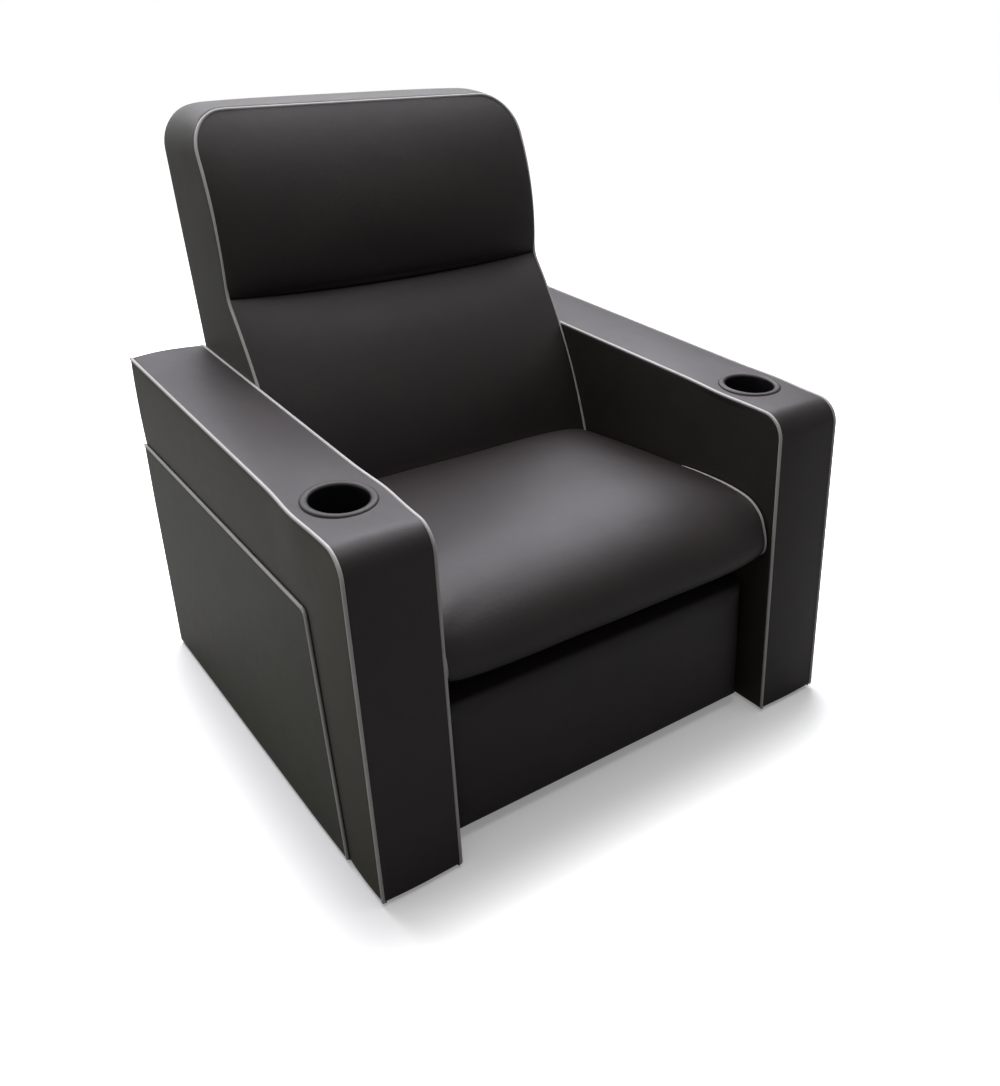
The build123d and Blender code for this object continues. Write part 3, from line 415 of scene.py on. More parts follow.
def thick_sheet(front, back):
    """A closed body between two grids of points, each given as a list of rows."""
    rows, columns = len(front), len(front[0])
    size = rows * columns
    points = [p for row in front for p in row] + [p for row in back for p in row]
    faces = grid_faces(rows, columns) + grid_faces(rows, columns, size)
    rim = ([(0, c) for c in range(columns)] + [(r, columns - 1) for r in range(1, rows)]
           + [(rows - 1, c) for c in range(columns - 2, -1, -1)] + [(r, 0) for r in range(rows - 2, 0, -1)])
    for k, (r, c) in enumerate(rim):
        nr, nc = rim[(k + 1) % len(rim)]
        faces.append((r * columns + c, nr * columns + nc, size + nr * columns + nc, size + r * columns + c))
    return points, faces


def finish_piece(piece, material, body, replaced=()):
    piece.data.materials.clear()
    piece.data.materials.append(material)
    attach(piece, body)
    if replaced:
        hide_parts(*replaced)
    return piece


def mesh_object(name, points, faces, sharp=50):
    mesh = bpy.data.meshes.new(name)
    mesh.from_pydata([tuple(p) for p in points], [], faces)
    shape = bmesh.new()
    shape.from_mesh(mesh)
    bmesh.ops.remove_doubles(shape, verts=shape.verts, dist=1e-6)
    bmesh.ops.recalc_face_normals(shape, faces=shape.faces)
    shape.to_mesh(mesh)
    shape.free()
    for face in mesh.polygons:
        face.use_smooth = True
    mesh.set_sharp_from_angle(angle=math.radians(sharp))
    piece = bpy.data.objects.new(name, mesh)
    scene.collection.objects.link(piece)
    return piece


def mirrored(points, side):
    return [Vector((p.x * side, p.y, p.z)) for p in points]


def piping(name, points, body, radius=PIPING_RADIUS, cover=PIPING_LEATHER):
    """A leather-covered cord sewn into a seam."""
    curve = bpy.data.curves.new(name, "CURVE")
    curve.dimensions = "3D"
    curve.bevel_depth = radius
    curve.bevel_resolution = 4
    curve.use_fill_caps = True
    spline = curve.splines.new("NURBS")
    spline.points.add(len(points) - 1)
    for point, place in zip(spline.points, points):
        point.co = (*place, 1)
    spline.order_u = 3
    spline.use_endpoint_u = True
    piece = bpy.data.objects.new(name, curve)
    scene.collection.objects.link(piece)
    return finish_piece(piece, cover, body)


def applied(piece):
    """Replaces a piece's mesh by the result of its modifiers."""
    graph = bpy.context.evaluated_depsgraph_get()
    mesh = bpy.data.meshes.new_from_object(piece.evaluated_get(graph))
    piece.modifiers.clear()
    piece.data = mesh
    return piece


def unevenness(point, size, height):
    """Soft hills and hollows in upholstery, about size across."""
    return height * noise.noise(point / size)


# ---- arms ----------------------------------------------------------------------------
CUP_CENTRE_X = (ARM_INNER + ARM_OUTER) / 2
CUP_CENTRE = row_point(CUP_CENTRE_X, (CUP_FROM_FRONT, arm_top_z(CUP_FROM_FRONT)))


def cup_push(y):
    """How far the cup insert spreads the arm's edges outwards."""
    return CUP_PUSH * math.exp(-((y - CUP_FROM_FRONT) / CUP_PUSH_REACH) ** 2)


def arm_top_band(side):
    """Padded strip over the arm's front and top, crowned across, with a hole for the cup insert."""
    path, outward = ARM_PATH, normals(ARM_PATH)
    width = ARM_OUTER - ARM_INNER
    across = clustered(25)
    rings = []
    for point, normal in zip(path, outward):
        roll = end_tuck(point)
        to_floor = min(1.0, (point - path[0]).length / 0.10)
        ring = []
        for u in across:
            x = ARM_INNER + width * u + (2 * u - 1) * (cup_push(point.x) - roll)
            place = row_point(x, point)
            crown = ARM_CROWN * (1 - (2 * u - 1) ** 2) * (0.25 + 0.75 * to_floor)
            from_cup = (place - CUP_CENTRE).length
            crown *= 0.35 + 0.65 * min(1.0, max(0.0, from_cup - CUP_FLANGE_RADIUS) / 0.06)
            height = crown - tuck(min(u, 1 - u) * width) - roll
            height += unevenness(place, 0.11, 0.0012) * math.sin(math.pi * u)
            ring.append(row_point(x, point + normal * height))
        ring.append(row_point(ARM_OUTER - 0.001 - roll, point - normal * ARM_PAD))
        ring.append(row_point(ARM_INNER + 0.001 + roll, point - normal * ARM_PAD))
        rings.append(ring)
    points, faces = loft(rings)
    piece = mesh_object("arm_top_leather_" + side, mirrored(points, SIDES[side]), faces)
    cutter = lathe("cup_cutter", [(0.0, -CUP_DEPTH), (CUP_RADIUS + 0.003, -CUP_DEPTH),
                                  (CUP_RADIUS + 0.003, CUP_DEPTH), (0.0, CUP_DEPTH)], 64, side)
    hole = piece.modifiers.new("cup hole", "BOOLEAN")
    hole.operation = "DIFFERENCE"
    hole.solver = "EXACT"
    hole.object = cutter
    applied(piece)
    bpy.data.objects.remove(cutter)
    return finish_piece(piece, LEATHER, "base", ["arm_top_pad_" + side])


def lathe(name, section, count, side):
    """Turns a section of (radius, height) about the cup's axis."""
    tilt = Matrix.Rotation(math.atan(ARM_RISE), 4, "X")
    middle = Vector((CUP_CENTRE.x * SIDES[side], CUP_CENTRE.y, CUP_CENTRE.z))
    rings = []
    for radius, height in section:
        rings.append([middle + tilt @ Vector((radius * math.cos(a), radius * math.sin(a), height))
                      for a in (2 * math.pi * k / count for k in range(count))])
    points = [p for ring in rings for p in ring]
    faces = grid_faces(len(rings), count, closed=True)
    return mesh_object(name, points, faces, 35)


def cup_insert(side):
    """Moulded cup with a flange that clamps the leather."""
    wall, flange = CUP_RADIUS + 0.0018, CUP_FLANGE_RADIUS
    section = [(0.0, -CUP_DEPTH), (wall, -CUP_DEPTH), (wall, -0.001), (flange, -0.001), (flange, 0.0004),
               (CUP_RADIUS + 0.0050, 0.0018), (CUP_RADIUS + 0.0030, 0.0024), (CUP_RADIUS + 0.0010, 0.0014),
               (CUP_RADIUS, -0.002), (CUP_RADIUS - 0.0012, -CUP_DEPTH + 0.008),
               (CUP_RADIUS - 0.0032, -CUP_DEPTH + 0.0035), (CUP_RADIUS - 0.008, -CUP_DEPTH + 0.002),
               (0.0, -CUP_DEPTH + 0.002)]
    piece = lathe("cup_insert_" + side, section, 72, side)
    return finish_piece(piece, PLASTIC, "base", ["cup_holders"])


def cup_ring(side):
    """Leather-covered ring round the cup's mouth, lying on the flange."""
    outer = CUP_FLANGE_RADIUS + 0.0025
    middle, half = (CUP_RADIUS + outer) / 2 + 0.0004, (outer - CUP_RADIUS) / 2 - 0.0004
    section = []
    for k in range(25):
        a = 2 * math.pi * k / 24
        flattened = 1.0 if k < 12 else 0.35
        section.append((middle + half * math.cos(a), 0.0010 + CUP_RIM * math.sin(a) * flattened))
    piece = lathe("cup_ring_" + side, section, 72, side)
    return finish_piece(piece, LEATHER, "base")


def panel_rows(foot, corner, rear, radius, columns, rows):
    """A grid of side-view points that fills a panel with one rounded upper front corner."""
    first, _, centre = fillet(foot, corner, rear, radius)
    foot, corner, rear = Vector(foot), Vector(corner), Vector(rear)
    grid = []
    for v in clustered(rows):
        left, right = foot.lerp(corner, v), Vector((rear.x, foot.y)).lerp(rear, v)
        if left.y > first.y:
            low, high = 0.0, min(1.0, 2 * radius / (right - left).length)
            for _ in range(40):
                middle = (low + high) / 2
                point = left.lerp(right, middle)
                if (point - centre).length > radius and point.x < centre.x:
                    low = middle
                else:
                    high = middle
            left = left.lerp(right, high)
        grid.append([left.lerp(right, u) for u in clustered(columns)])
    return grid


def line_distance(point, a, b):
    a, b = Vector(a), Vector(b)
    run = (b - a).normalized()
    away = Vector(point) - a
    return abs(run.x * away.y - run.y * away.x)


def panel_edge(point, foot, corner, rear, radius):
    """Distance of a side-view point from a panel's front and top edges."""
    first, last, centre = fillet(foot, corner, rear, radius)
    if point.x < last.x and point.y > first.y:
        return max(0.0, radius - (point - centre).length)
    return min(line_distance(point, foot, corner), line_distance(point, corner, rear))


def flat_cover(name, outline, face_x, back_x, height, side, material, replaced):
    """A leather-covered panel whose face stands out by height(edge distance, point)."""
    rows = panel_rows(*outline, 56, 44)
    outwards = math.copysign(1, face_x - back_x)
    front = [[row_point(face_x + outwards * height(panel_edge(p, *outline), p), p) for p in row]
             for row in rows]
    back = [[row_point(back_x, p) for p in row] for row in rows]
    points, faces = thick_sheet(front, back)
    piece = mesh_object(name + "_" + side, mirrored(points, SIDES[side]), faces)
    return finish_piece(piece, material, "base", replaced)


def inner_cover(side):
    def height(edge, point):
        return 0.0008 * min(1.0, edge / 0.05) - max(tuck(edge), end_tuck(point))
    outline = (ARM_FOOT, ARM_CORNER, ARM_REAR, ARM_NOSE_RADIUS)
    return flat_cover("arm_inner_leather", outline, ARM_INNER, ARM_INNER + COVER, height, side, INNER_LEATHER,
                      ["arm_inner_cover_" + side])


def side_panel(side):
    proud = PANEL_FACE - ARM_OUTER

    def height(edge, point):
        swell = 0.0012 * min(1.0, edge / 0.12)
        return swell - max(tuck(edge, proud), end_tuck(point)) - 0.0012
    outline = (PANEL_FOOT, PANEL_CORNER, PANEL_REAR, PANEL_RADIUS)
    # painted light: the panel's leather is a lighter copy of the brown leather
    return flat_cover("arm_panel_leather", outline, PANEL_FACE, ARM_OUTER - COVER, height, side,
                      PANEL_LEATHER_PAINTED_LIGHT, ["arm_side_panel_" + side])


def outer_surround(side):
    """Outer side's leather in front of and above the raised panel."""
    front, back = [], []
    for outer, inner in zip(ARM_PATH, PANEL_PATH):
        gap = (outer - inner).length
        row = []
        for t in clustered(16):
            point = outer.lerp(inner, t)
            swell = 0.0022 * math.sin(math.pi * t) ** 0.7
            edge = min(t, 1 - t) * gap
            push = cup_push(point.x) * (1 - t)
            row.append(row_point(ARM_OUTER + push + swell - max(tuck(edge), end_tuck(point)), point))
        front.append(row)
        back.append([row_point(ARM_OUTER - COVER, outer.lerp(inner, t)) for t in clustered(16)])
    points, faces = thick_sheet(front, back)
    piece = mesh_object("arm_outer_leather_" + side, mirrored(points, SIDES[side]), faces)
    # painted light: the outer side's leather is a lighter copy of the brown leather
    return finish_piece(piece, SIDE_LEATHER_PAINTED_LIGHT, "base", ["arm_outer_cover_" + side])


def arm_rear(side):
    """Leather over the arm's rear face, under the end of the top band."""
    top = arm_top_z(ARM_LENGTH) - ARM_PAD
    front, back = [], []
    for v in clustered(24):
        z = lerp(FLOOR_GAP, top, v)
        row, behind = [], []
        for u in clustered(16):
            x = lerp(ARM_INNER + COVER / 2, ARM_OUTER - COVER / 2, u)
            edge = min(min(u, 1 - u) * (ARM_OUTER - ARM_INNER), min(v, 1 - v) * top)
            bulge = 0.0015 * math.sin(math.pi * u)
            row.append(row_point(x, (ARM_LENGTH + bulge - tuck(edge, 0.003), z)))
            behind.append(row_point(x, (ARM_LENGTH - COVER, z)))
        front.append(row)
        back.append(behind)
    points, faces = thick_sheet(front, back)
    piece = mesh_object("arm_rear_leather_" + side, mirrored(points, SIDES[side]), faces)
    return finish_piece(piece, LEATHER, "base", ["arm_rear_covers"])


def edge_piping(name, path, x, inset, side, outwards):
    """Piping along a side-view path, sunk by inset below it, that rolls in with the leather at both ends."""
    points = []
    for p, n in zip(path, normals(path)):
        if p.y < FLOOR_GAP + PIPING_RADIUS or p.x > ARM_LENGTH - PIPING_RADIUS:
            continue
        roll = end_tuck(p)
        push = cup_push(p.x) if path is ARM_PATH else 0.0
        place = p - n * (inset + roll)
        points.append(row_point((x + outwards * (push - roll)) * SIDES[side], place))
    return piping(name + "_" + side, points, "base")


def build_arms():
    for side in SIDES:
        arm_top_band(side)
        cup_insert(side)
        cup_ring(side)
        inner_cover(side)
        outer_surround(side)
        side_panel(side)
        arm_rear(side)
        edge_piping("arm_outer_piping", ARM_PATH, ARM_OUTER - PIPING_SUNK, PIPING_SUNK, side, 1)
        edge_piping("arm_inner_piping", ARM_PATH, ARM_INNER + ARM_INNER_PIPING, PIPING_SUNK, side, -1)
        edge_piping("arm_panel_piping", PANEL_PATH, PANEL_FACE - PANEL_PIPING, PANEL_PIPING_SUNK, side, 1)


# ---- cushions ------------------------------------------------------------------------
CUSHION_PRESSURE = 2.0
CUSHION_PUFF = 0.008           # the cloth pass moves no point of a cushion further than this
FOOTREST_PUFF = 0.003          # nor of the footrest


def puff(piece, pinned, pressure, cap, frames=20):
    """Lets pressure fill a cushion's leather while its seams stay put, moving no point beyond cap."""
    group = piece.vertex_groups.new(name="seams")
    group.add(pinned, 1.0, "REPLACE")
    cloth = piece.modifiers.new("leather", "CLOTH")
    cloth.settings.quality = 6
    cloth.settings.mass = 0.4
    cloth.settings.tension_stiffness = 30.0
    cloth.settings.compression_stiffness = 20.0
    cloth.settings.bending_stiffness = 4.0
    cloth.settings.use_pressure = True
    cloth.settings.uniform_pressure_force = pressure
    cloth.settings.vertex_group_mass = "seams"
    cloth.settings.effector_weights.gravity = 0.0
    cloth.point_cache.frame_start, cloth.point_cache.frame_end = 1, frames
    start = [v.co.copy() for v in piece.data.vertices]
    for number in range(1, frames + 1):
        scene.frame_set(number)
    graph = bpy.context.evaluated_depsgraph_get()
    settled = [v.co.copy() for v in piece.evaluated_get(graph).data.vertices]
    piece.modifiers.clear()
    piece.vertex_groups.clear()
    for vertex, old, new in zip(piece.data.vertices, start, settled):
        move = new - old
        if move.length > cap:
            move *= cap / move.length
        vertex.co = old + move
    scene.frame_set(1)
    return piece


def smoothed(piece, levels=1):
    subdivision = piece.modifiers.new("smooth", "SUBSURF")
    subdivision.levels = subdivision.render_levels = levels
    return applied(piece)


SEAT_MIDDLE = ((0.566, 0.444), (0.520, 0.453), (0.430, 0.459), (0.300, 0.461), (0.225, 0.459), (0.153, 0.451),
               (0.096, 0.433), (0.057, 0.408), (0.033, 0.378), (0.028, 0.350), (0.040, 0.328), (0.064, 0.319))
SEAT_EDGE = ((0.560, 0.424), (0.500, 0.429), (0.400, 0.436), (0.280, 0.443), (0.190, 0.4475), (0.130, 0.4465),
             (0.084, 0.439), (0.054, 0.419), (0.041, 0.392), (0.034, 0.366), (0.039, 0.345), (0.062, 0.334))
SEAT_UNDER = ((0.098, 0.330), (0.556, 0.330))


def seat_profile(across):
    """Closed side-view loop of the seat cushion; across is 0 at its sides and 1 along its middle."""
    crown = smooth_path([Vector(a).lerp(Vector(b), across) for a, b in zip(SEAT_EDGE, SEAT_MIDDLE)], 84)
    lip, rear = (Vector(p) for p in SEAT_UNDER)
    under = [crown[-1].lerp(lip, k / 5) for k in range(1, 5)]
    under += [lip.lerp(rear, k / 28) for k in range(29)]
    return crown + under + [rear.lerp(crown[0], k / 8) for k in range(1, 8)]


def seat_cushion():
    """Waterfall cushion: crowned across, falling to the side piping, rolled over the front."""
    rings = []
    for u in clustered(65):
        x = lerp(-SEAT_HALF, SEAT_HALF, u)
        edge = min(u, 1 - u) * 2 * SEAT_HALF
        side = abs(2 * u - 1)
        profile = seat_profile((1 - side ** 8.0) ** 0.80)
        inward = normals(profile)
        soft = min(1.0, edge / 0.10)
        rings.append([row_point(x, p + n * (tuck(edge) + soft * unevenness(row_point(x, p), 0.15, 0.0016)))
                      for p, n in zip(profile, inward)])
    points, faces = loft(rings)
    piece = mesh_object("seat_pad", points, faces, 60)
    pinned = [v.index for v in piece.data.vertices
              if v.co.z < 0.332 or SEAT_HALF - abs(v.co.x) < 0.004 or v.co.y > FOOT_Y + 0.555]
    puff(piece, pinned, CUSHION_PRESSURE, CUSHION_PUFF)
    smoothed(piece)
    return finish_piece(piece, LEATHER, "seat", ["seat_cushion"])


SEAT_TAIL_LOW = (0.560, 0.334)
SEAT_TAIL_HIGH = (0.638, 0.3975)
SEAT_TAIL_CORNER = 0.012
SEAT_TAIL_INSET = 0.004        # narrower than the cushion, at each side
SEAT_TAIL_ROUNDING = 0.010     # of its two ends


def seat_tail():
    """Low rear end of the seat cushion, which reaches under the backrest."""
    (front, low), (rear, high) = SEAT_TAIL_LOW, SEAT_TAIL_HIGH
    half = SEAT_HALF - SEAT_TAIL_INSET
    rings = []
    for u in clustered(40):
        x = lerp(-half, half, u)
        inset = tuck(min(u, 1 - u) * 2 * half, SEAT_TAIL_ROUNDING)
        reach = SEAT_TAIL_CORNER + inset
        ring = []
        for y, z, start in ((rear - reach, high - reach, 0), (front + reach, high - reach, 90),
                            (front + reach, low + reach, 180), (rear - reach, low + reach, 270)):
            for turn in range(start, start + 91, 15):
                a = math.radians(turn)
                ring.append(row_point(x, (y + SEAT_TAIL_CORNER * math.cos(a),
                                          z + SEAT_TAIL_CORNER * math.sin(a))))
        rings.append(ring)
    points, faces = loft(rings)
    piece = mesh_object("seat_tail_pad", points, faces, 60)
    return finish_piece(piece, LEATHER, "seat", ())


# ---- backrest ------------------------------------------------------------------------
def back_half_width(level, inset=0.0):
    """Half width of the backrest at a height, round its top corners."""
    half, radius = BACK_HALF - inset, BACK_CORNER_RADIUS - inset
    rise = level - (BACK_TOP - BACK_CORNER_RADIUS)
    if rise <= 0:
        return half
    return half - radius + math.sqrt(max(0.0, radius ** 2 - rise ** 2))


SEAM_SAG = 0.010               # the seam between headrest and lumbar cushion dips in the middle
LUMBAR_SWELL = 0.020
HEADREST_SWELL = (0.034, 0.004)    # from its lower to its upper edge
BACK_DEPTH = 0.086             # foam and leather of the back cushions


def back_pad(name, low, high, low_sag, high_sag, swell, crown):
    """A crowned back cushion between two heights; swell(v) is its bulge from its lower to its upper edge."""
    front, back = [], []
    for v in clustered(44):
        row, behind = [], []
        for u in clustered(60):
            side = 2 * u - 1
            across = (1 - abs(side) ** crown) ** 0.62
            sag = 1 - side * side
            z = min(lerp(low - low_sag * sag, high - high_sag * sag, v), BACK_TOP - 0.002)
            x = side * back_half_width(z, 0.002)
            row.append(row_point(x, (back_front_y(z) - across * swell(v), z)))
            behind.append(row_point(x, (back_front_y(z) + BACK_DEPTH, z)))
        front.append(row)
        back.append(behind)
    points, faces = thick_sheet(front, back)
    return mesh_object(name, points, faces, 60)


def rounded_rise(v, reach):
    """Quarter-round rise from 0 to 1 over reach."""
    t = min(1.0, v / reach)
    return math.sqrt(max(0.0, 1 - (1 - t) ** 2))


def eased_rise(v, start, end):
    t = min(1.0, max(0.0, (v - start) / (end - start)))
    return t * t * (3 - 2 * t)


def lumbar_cushion():
    def swell(v):
        return LUMBAR_SWELL * eased_rise(v, 0.06, 0.50) * rounded_rise(1 - v, 0.22)
    piece = back_pad("lumbar_pad", BACK_BOTTOM + 0.004, BACK_SEAM, 0.0, SEAM_SAG, swell, 3.2)
    puff_back(piece, CUSHION_PUFF)
    smoothed(piece)
    return finish_piece(piece, LEATHER, "backrest", ["lumbar_cushion"])


def headrest_cushion():
    def swell(v):
        return lerp(*HEADREST_SWELL, v) * rounded_rise(v, 0.34) * rounded_rise(1 - v, 0.12)
    piece = back_pad("headrest_pad", BACK_SEAM, BACK_TOP - 0.002, SEAM_SAG, 0.0, swell, 4.5)
    puff_back(piece, CUSHION_PUFF)
    smoothed(piece)
    return finish_piece(piece, HEADREST_LEATHER, "backrest", ["headrest_cushion"])


def puff_back(piece, cap):
    """Cloth pass of a back cushion, whose outline and rear stay put."""
    pinned = []
    for vertex in piece.data.vertices:
        y, z = vertex.co.y - FOOT_Y, vertex.co.z
        on_outline = y > back_front_y(z) - 0.0015
        if on_outline:
            pinned.append(vertex.index)
    return puff(piece, pinned, CUSHION_PRESSURE, cap)


def back_outline(inset, straight=30, arc=12, top=24):
    """Front-view outline of the backrest as (x, z) with outward normals, from lower left to lower right."""
    half, height, radius = BACK_HALF - inset, BACK_TOP - inset, BACK_CORNER_RADIUS - inset
    points = []
    for k in range(straight):
        points.append((Vector((-half, lerp(BACK_BOTTOM, height - radius, k / straight))), Vector((-1, 0))))
    for k in range(arc):
        a = math.pi - math.pi / 2 * k / arc
        out = Vector((math.cos(a), math.sin(a)))
        points.append((Vector((-half + radius, height - radius)) + out * radius, out))
    for k in range(top):
        points.append((Vector((lerp(-half + radius, half - radius, k / top), height)), Vector((0, 1))))
    for k in range(arc):
        a = math.pi / 2 - math.pi / 2 * k / arc
        out = Vector((math.cos(a), math.sin(a)))
        points.append((Vector((half - radius, height - radius)) + out * radius, out))
    for k in range(straight + 1):
        points.append((Vector((half, lerp(height - radius, BACK_BOTTOM, k / straight))), Vector((1, 0))))
    return points


def back_boxing():
    """Leather strip round the backrest's sides and top, between the front and rear seams."""
    front, back = [], []
    for place, out in back_outline(0.0):
        row, under = [], []
        for t in clustered(16):
            level = place.y
            y = lerp(back_front_y(level) + 0.001, back_rear_y(level), t)
            depth = back_rear_y(level) - back_front_y(level)
            crown = lerp(BACK_SIDE_CROWN, BACK_TOP_CROWN, out.y * (1 - abs(place.x / BACK_HALF) ** 4))
            height = crown * math.sin(math.pi * t) - tuck(min(t, 1 - t) * depth)
            outer = place + out * height
            inner = place - out * BOXING
            row.append(row_point(outer.x, (y, outer.y)))
            under.append(row_point(inner.x, (y, inner.y)))
        front.append(row)
        back.append(under)
    points, faces = thick_sheet(front, back)
    piece = mesh_object("back_boxing_leather", points, faces)
    # painted light: the boxing's leather is a lighter copy of the brown leather
    return finish_piece(piece, BOXING_LEATHER_PAINTED_LIGHT, "backrest", ["back_boxing"])


def back_rear():
    """Leather over the backrest's rear, slightly bulged."""
    front, back = [], []
    for v in clustered(40):
        row, inner = [], []
        z = lerp(BACK_BOTTOM, BACK_TOP - 0.003, v)
        half = back_half_width(z, 0.003)
        for u in clustered(40):
            x = lerp(-half, half, u)
            across = 1 - abs(2 * u - 1) ** 4
            edge = min(min(u, 1 - u) * 2 * half, BACK_TOP - z)
            y = back_rear_y(z) + 0.004 * across * math.sin(math.pi * v) ** 0.5 - tuck(edge, 0.004)
            row.append(row_point(x, (y, z)))
            inner.append(row_point(x, (back_rear_y(z) - 0.005, z)))
        front.append(row)
        back.append(inner)
    points, faces = thick_sheet(front, back)
    piece = mesh_object("back_rear_leather", points, faces)
    return finish_piece(piece, LEATHER, "backrest", ["back_rear_cover"])


def build_back():
    lumbar_cushion()
    headrest_cushion()
    back_boxing()
    back_rear()
    points = []
    for place, _ in back_outline(BACK_PIPING_INSET):
        points.append(row_point(place.x, (back_front_y(place.y) + BACK_PIPING_SUNK, place.y)))
    # painted shade: the backrest's piping uses the darker copy of the piping leather
    piping("back_front_piping", points, "backrest", cover=PIPING_LEATHER_PAINTED_SHADE)


# ---- footrest ------------------------------------------------------------------------
FOOTREST_LEAN = math.tan(math.radians(4.26))
FOOTREST_DEPTH = 0.037
FOOTREST_FRONT = 0.050


def footrest_cushion():
    """Padded panel, softly crowned, with rounded front edges."""
    front, back = [], []
    low, high, half = FOOTREST_LOW.z, FOOTREST_HIGH.z, FOOTREST_HIGH.x
    for v in clustered(30):
        row, behind = [], []
        z = lerp(low, high, v)
        for u in clustered(56):
            x = lerp(-half, half, u)
            edge = min(min(u, 1 - u) * 2 * half, min(v, 1 - v) * (high - low))
            swell = 0.004 * (1 - abs(2 * u - 1) ** 6) * (1 - abs(2 * v - 1) ** 3)
            y = FOOTREST_FRONT + (z - low) * FOOTREST_LEAN
            row.append(row_point(x, (y - swell + tuck(edge, 0.014), z)))
            behind.append(row_point(x, (y + FOOTREST_DEPTH, z)))
        front.append(row)
        back.append(behind)
    points, faces = thick_sheet(front, back)
    piece = mesh_object("footrest_leather", points, faces, 60)
    rear = FOOT_Y + FOOTREST_FRONT + 0.016
    pinned = [v.index for v in piece.data.vertices if v.co.y > rear + (v.co.z - low) * FOOTREST_LEAN]
    puff(piece, pinned, CUSHION_PRESSURE, FOOTREST_PUFF)
    smoothed(piece)
    return finish_piece(piece, LEATHER, "footrest", ["footrest_pad"])


def seat_piping(side):
    """Piping along the seat cushion's edge; towards the backrest the cushion bulges over it."""
    points = []
    path = smooth_path([*SEAT_EDGE, (0.084, 0.336)], 84)
    for p, n in zip(path, normals(path)):
        sunk = PIPING_SUNK + SEAT_PIPING_DIP * eased_rise(p.x, 0.24, 0.33)
        points.append(row_point((SEAT_HALF - PIPING_SUNK) * SIDES[side], p + n * sunk))
    # painted shade: the seat's piping uses the darker copy of the piping leather
    return piping("seat_piping_" + side, points[4:], "seat", radius=SEAT_PIPING_RADIUS,
                  cover=PIPING_LEATHER_PAINTED_SHADE)


# ---- finishes of the carried-over pieces ---------------------------------------------
FINISHES = {"plywood": PLYWOOD, "black_plastic": PLASTIC, "black_steel": STEEL, "webbing": WEBBING,
            "rubber_stop": RUBBER, "dark_leather": LEATHER, "cushion_leather": LEATHER}


def dress_frame():
    slots = {part["node"]: part["material_slot"] for part in frame["record"]["subparts"]}
    for name, node in frame["nodes"].items():
        node.data.materials.clear()
        node.data.materials.append(DUST_CLOTH if name == "rear_kick_panel" else FINISHES[slots[name]])


# ---- stage ---------------------------------------------------------------------------
FLOOR_SIZE = 30.0
PAINTED_SHADE_REACH = 0.24              # over this distance from the seat's footprint the floor's glow rises to plain white; nearer, it is painted shade round the seat
FLOOR_GLOW_IN_PAINTED_SHADE = 0.20              # share of plain white glow that the floor has right beside the seat, which paints it darker there on top of the seat's rendered shadow
FLOOR_UNSEEN = (0.20, 0.20, 0.20)    # floor's colour as it lights the seat
FLOOR_SEEN = (0.88, 0.88, 0.88)      # and as the camera sees it
GLOSS_SHARE = 0.10             # how strongly the bright surroundings show in gloss
AMBIENT = 0.20                 # brightness of the surroundings as light on the seat


def times(tree, a, b):
    node = tree.nodes.new("ShaderNodeMath")
    node.operation = "MULTIPLY"
    for value, socket in ((a, node.inputs[0]), (b, node.inputs[1])):
        if isinstance(value, float):
            socket.default_value = value
        else:
            tree.links.new(value, socket)
    return node.outputs["Value"]


def added(tree, a, b):
    node = tree.nodes.new("ShaderNodeMath")
    node.operation = "ADD"
    node.use_clamp = True
    tree.links.new(a, node.inputs[0])
    tree.links.new(b, node.inputs[1])
    return node.outputs["Value"]


def background_rays(tree):
    """1 for rays from the camera, which show the background; rays in gloss and through glass get GLOSS_SHARE.
    """
    rays = tree.nodes.new("ShaderNodeLightPath").outputs
    gloss = times(tree, added(tree, rays["Is Glossy Ray"], rays["Is Transmission Ray"]), GLOSS_SHARE)
    return added(tree, rays["Is Camera Ray"], gloss)


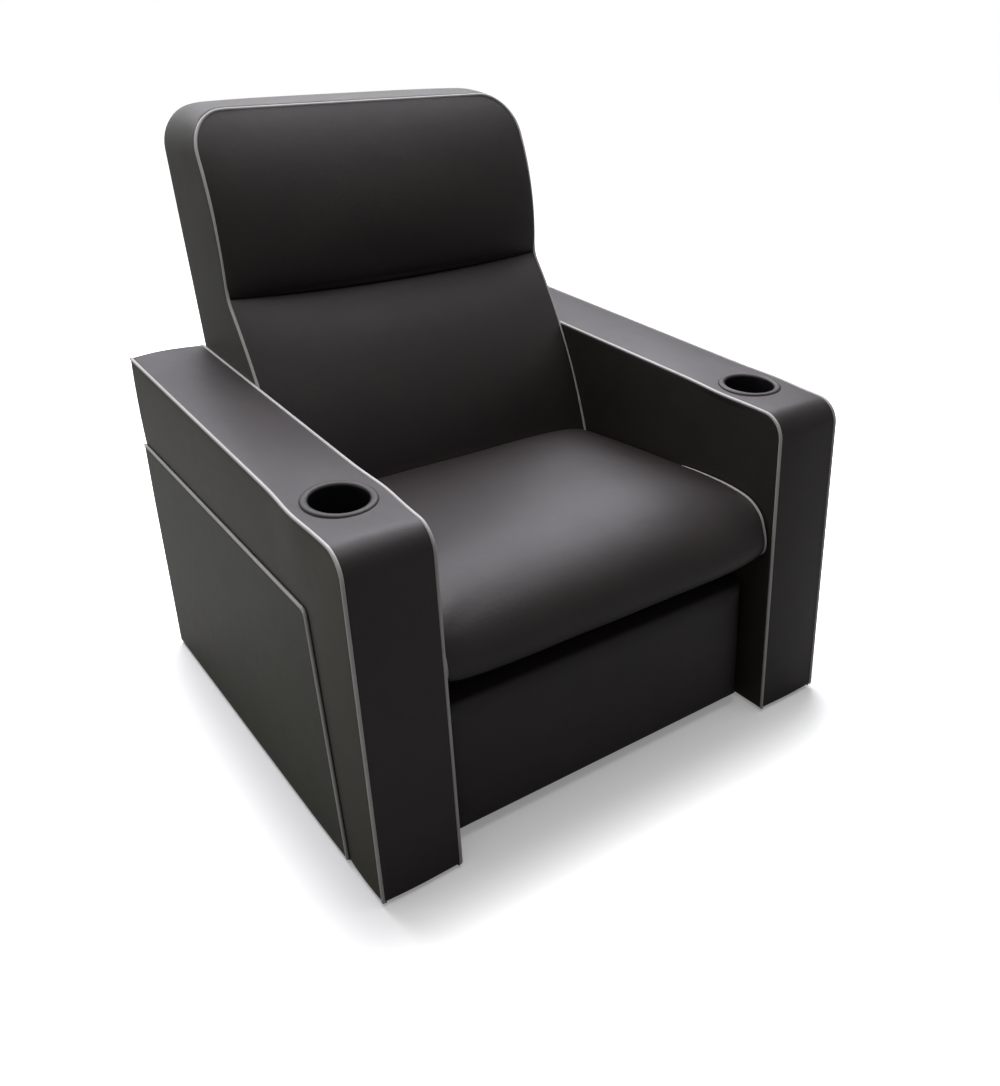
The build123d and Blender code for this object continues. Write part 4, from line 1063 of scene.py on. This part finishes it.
def build_stage():
    """White floor and white surroundings; the floor keeps the seat's soft shadow, and glows less near the
    seat, as painted shade round its footprint.
    """
    material, tree, shader, place = new_material("studio_floor")
    shader.inputs["Roughness"].default_value = 0.9
    shader.inputs["Specular IOR Level"].default_value = 0.0
    seen = background_rays(tree)
    tree.links.new(ramp_node(tree, seen, 0.0, 1.0, FLOOR_UNSEEN, FLOOR_SEEN),
                   shader.inputs["Base Color"])
    apart = place
    for operation, amount in (("ABSOLUTE", None), ("SUBTRACT", (ARM_OUTER, ARM_LENGTH / 2, 0.0)),
                              ("MAXIMUM", (0.0, 0.0, 0.0)), ("LENGTH", None)):
        node = tree.nodes.new("ShaderNodeVectorMath")
        node.operation = operation
        tree.links.new(apart, node.inputs[0])
        if amount:
            node.inputs[1].default_value = amount
        apart = node.outputs["Value" if operation == "LENGTH" else "Vector"]
    # glow lowered towards the seat's footprint: painted shade round the seat
    white = tree.nodes.new("ShaderNodeMapRange")
    white.interpolation_type = "SMOOTHSTEP"
    white.inputs["From Max"].default_value = PAINTED_SHADE_REACH
    white.inputs["To Min"].default_value = FLOOR_GLOW_IN_PAINTED_SHADE
    tree.links.new(apart, white.inputs["Value"])
    lift = tree.nodes.new("ShaderNodeEmission")
    tree.links.new(times(tree, white.outputs["Result"], seen), lift.inputs["Strength"])
    total = tree.nodes.new("ShaderNodeAddShader")
    tree.links.new(shader.outputs["BSDF"], total.inputs[0])
    tree.links.new(lift.outputs["Emission"], total.inputs[1])
    tree.links.new(total.outputs["Shader"], tree.nodes["Material Output"].inputs["Surface"])
    mesh = bpy.data.meshes.new("studio_floor")
    half = FLOOR_SIZE / 2
    corners = [(-half, -half, 0), (half, -half, 0), (half, half, 0), (-half, half, 0)]
    mesh.from_pydata(corners, [], [(0, 1, 2, 3)])
    floor = bpy.data.objects.new("studio_floor", mesh)
    floor.location.y = FOOT_Y + ARM_LENGTH / 2
    scene.collection.objects.link(floor)
    mesh.materials.append(material)

    world = bpy.data.worlds.new("studio")
    scene.world = world
    world.use_nodes = True
    tree = world.node_tree
    level = range_node(tree, background_rays(tree), AMBIENT, 1.0)
    background = tree.nodes["Background"]
    background.inputs["Color"].default_value = (1.0, 1.0, 1.0, 1)
    tree.links.new(level, background.inputs["Strength"])


def area_light(name, place, target, size, power, color=(1.0, 1.0, 1.0)):
    lamp = bpy.data.lights.new(name, "AREA")
    lamp.shape = "RECTANGLE"
    lamp.size, lamp.size_y = size
    lamp.energy = power
    lamp.color = color
    holder = bpy.data.objects.new(name, lamp)
    holder.location = place
    holder.rotation_mode = "QUATERNION"
    holder.rotation_quaternion = (Vector(target) - Vector(place)).to_track_quat("-Z", "Y")
    scene.collection.objects.link(holder)
    return holder


SOFTBOXES = (
    ("high_softbox", (0.53, 1.98, 3.22), (0.0, 0.0, 0.5), (4.2, 2.6), 6.2, (0.98, 0.97, 1.05)),
    ("overhead_softbox", (0.0, -0.2, 3.4), (0.0, 0.0, 0.5), (2.8, 2.4), 2.0, (1.0, 1.0, 1.0)),
    ("right_softbox", (2.52, 1.18, 2.45), (0.0, 0.0, 0.5), (1.5, 1.3), 3.0, (0.98, 0.97, 1.05)),
    ("left_softbox", (-3.2, 0.8, 1.2), (0.0, 0.1, 0.4), (2.5, 1.8), 0.9, (1.0, 1.0, 0.97)),
)


def build_lights():
    for name, place, target, size, brightness, color in SOFTBOXES:
        area_light(name, place, target, size, brightness * math.pi * size[0] * size[1], color)


# ---- camera --------------------------------------------------------------------------
CAMERA_PLACE = (-0.9705, FOOT_Y - 1.0261, 1.2266)
CAMERA_YAW = 0.599             # radians, turned to the right of looking along +Y
CAMERA_PITCH = 0.484           # radians below the horizon
CAMERA_ROLL = -0.014
CAMERA_FOCAL_SHARE = 993.4 / 1086.0   # focal length as a share of the picture's height


def build_camera():
    forward = Vector((math.sin(CAMERA_YAW) * math.cos(CAMERA_PITCH),
                      math.cos(CAMERA_YAW) * math.cos(CAMERA_PITCH), -math.sin(CAMERA_PITCH)))
    right = Vector((math.cos(CAMERA_YAW), -math.sin(CAMERA_YAW), 0))
    up = right.cross(forward)
    turned_right = right * math.cos(CAMERA_ROLL) + up * math.sin(CAMERA_ROLL)
    turned_up = up * math.cos(CAMERA_ROLL) - right * math.sin(CAMERA_ROLL)
    camera = bpy.data.objects.new("camera", bpy.data.cameras.new("camera"))
    camera.data.sensor_width = 36.0
    camera.data.lens = 36.0 * CAMERA_FOCAL_SHARE
    camera.data.clip_start, camera.data.clip_end = 0.05, 60.0
    turn = Matrix((turned_right, turned_up, -forward)).transposed().to_4x4()
    camera.matrix_world = Matrix.Translation(CAMERA_PLACE) @ turn
    scene.collection.objects.link(camera)
    scene.camera = camera


scene.view_settings.view_transform = "Standard"
build_camera()
dress_frame()
build_arms()
seat_cushion()
seat_tail()
for side in SIDES:
    seat_piping(side)
build_back()
footrest_cushion()
build_stage()
build_lights()
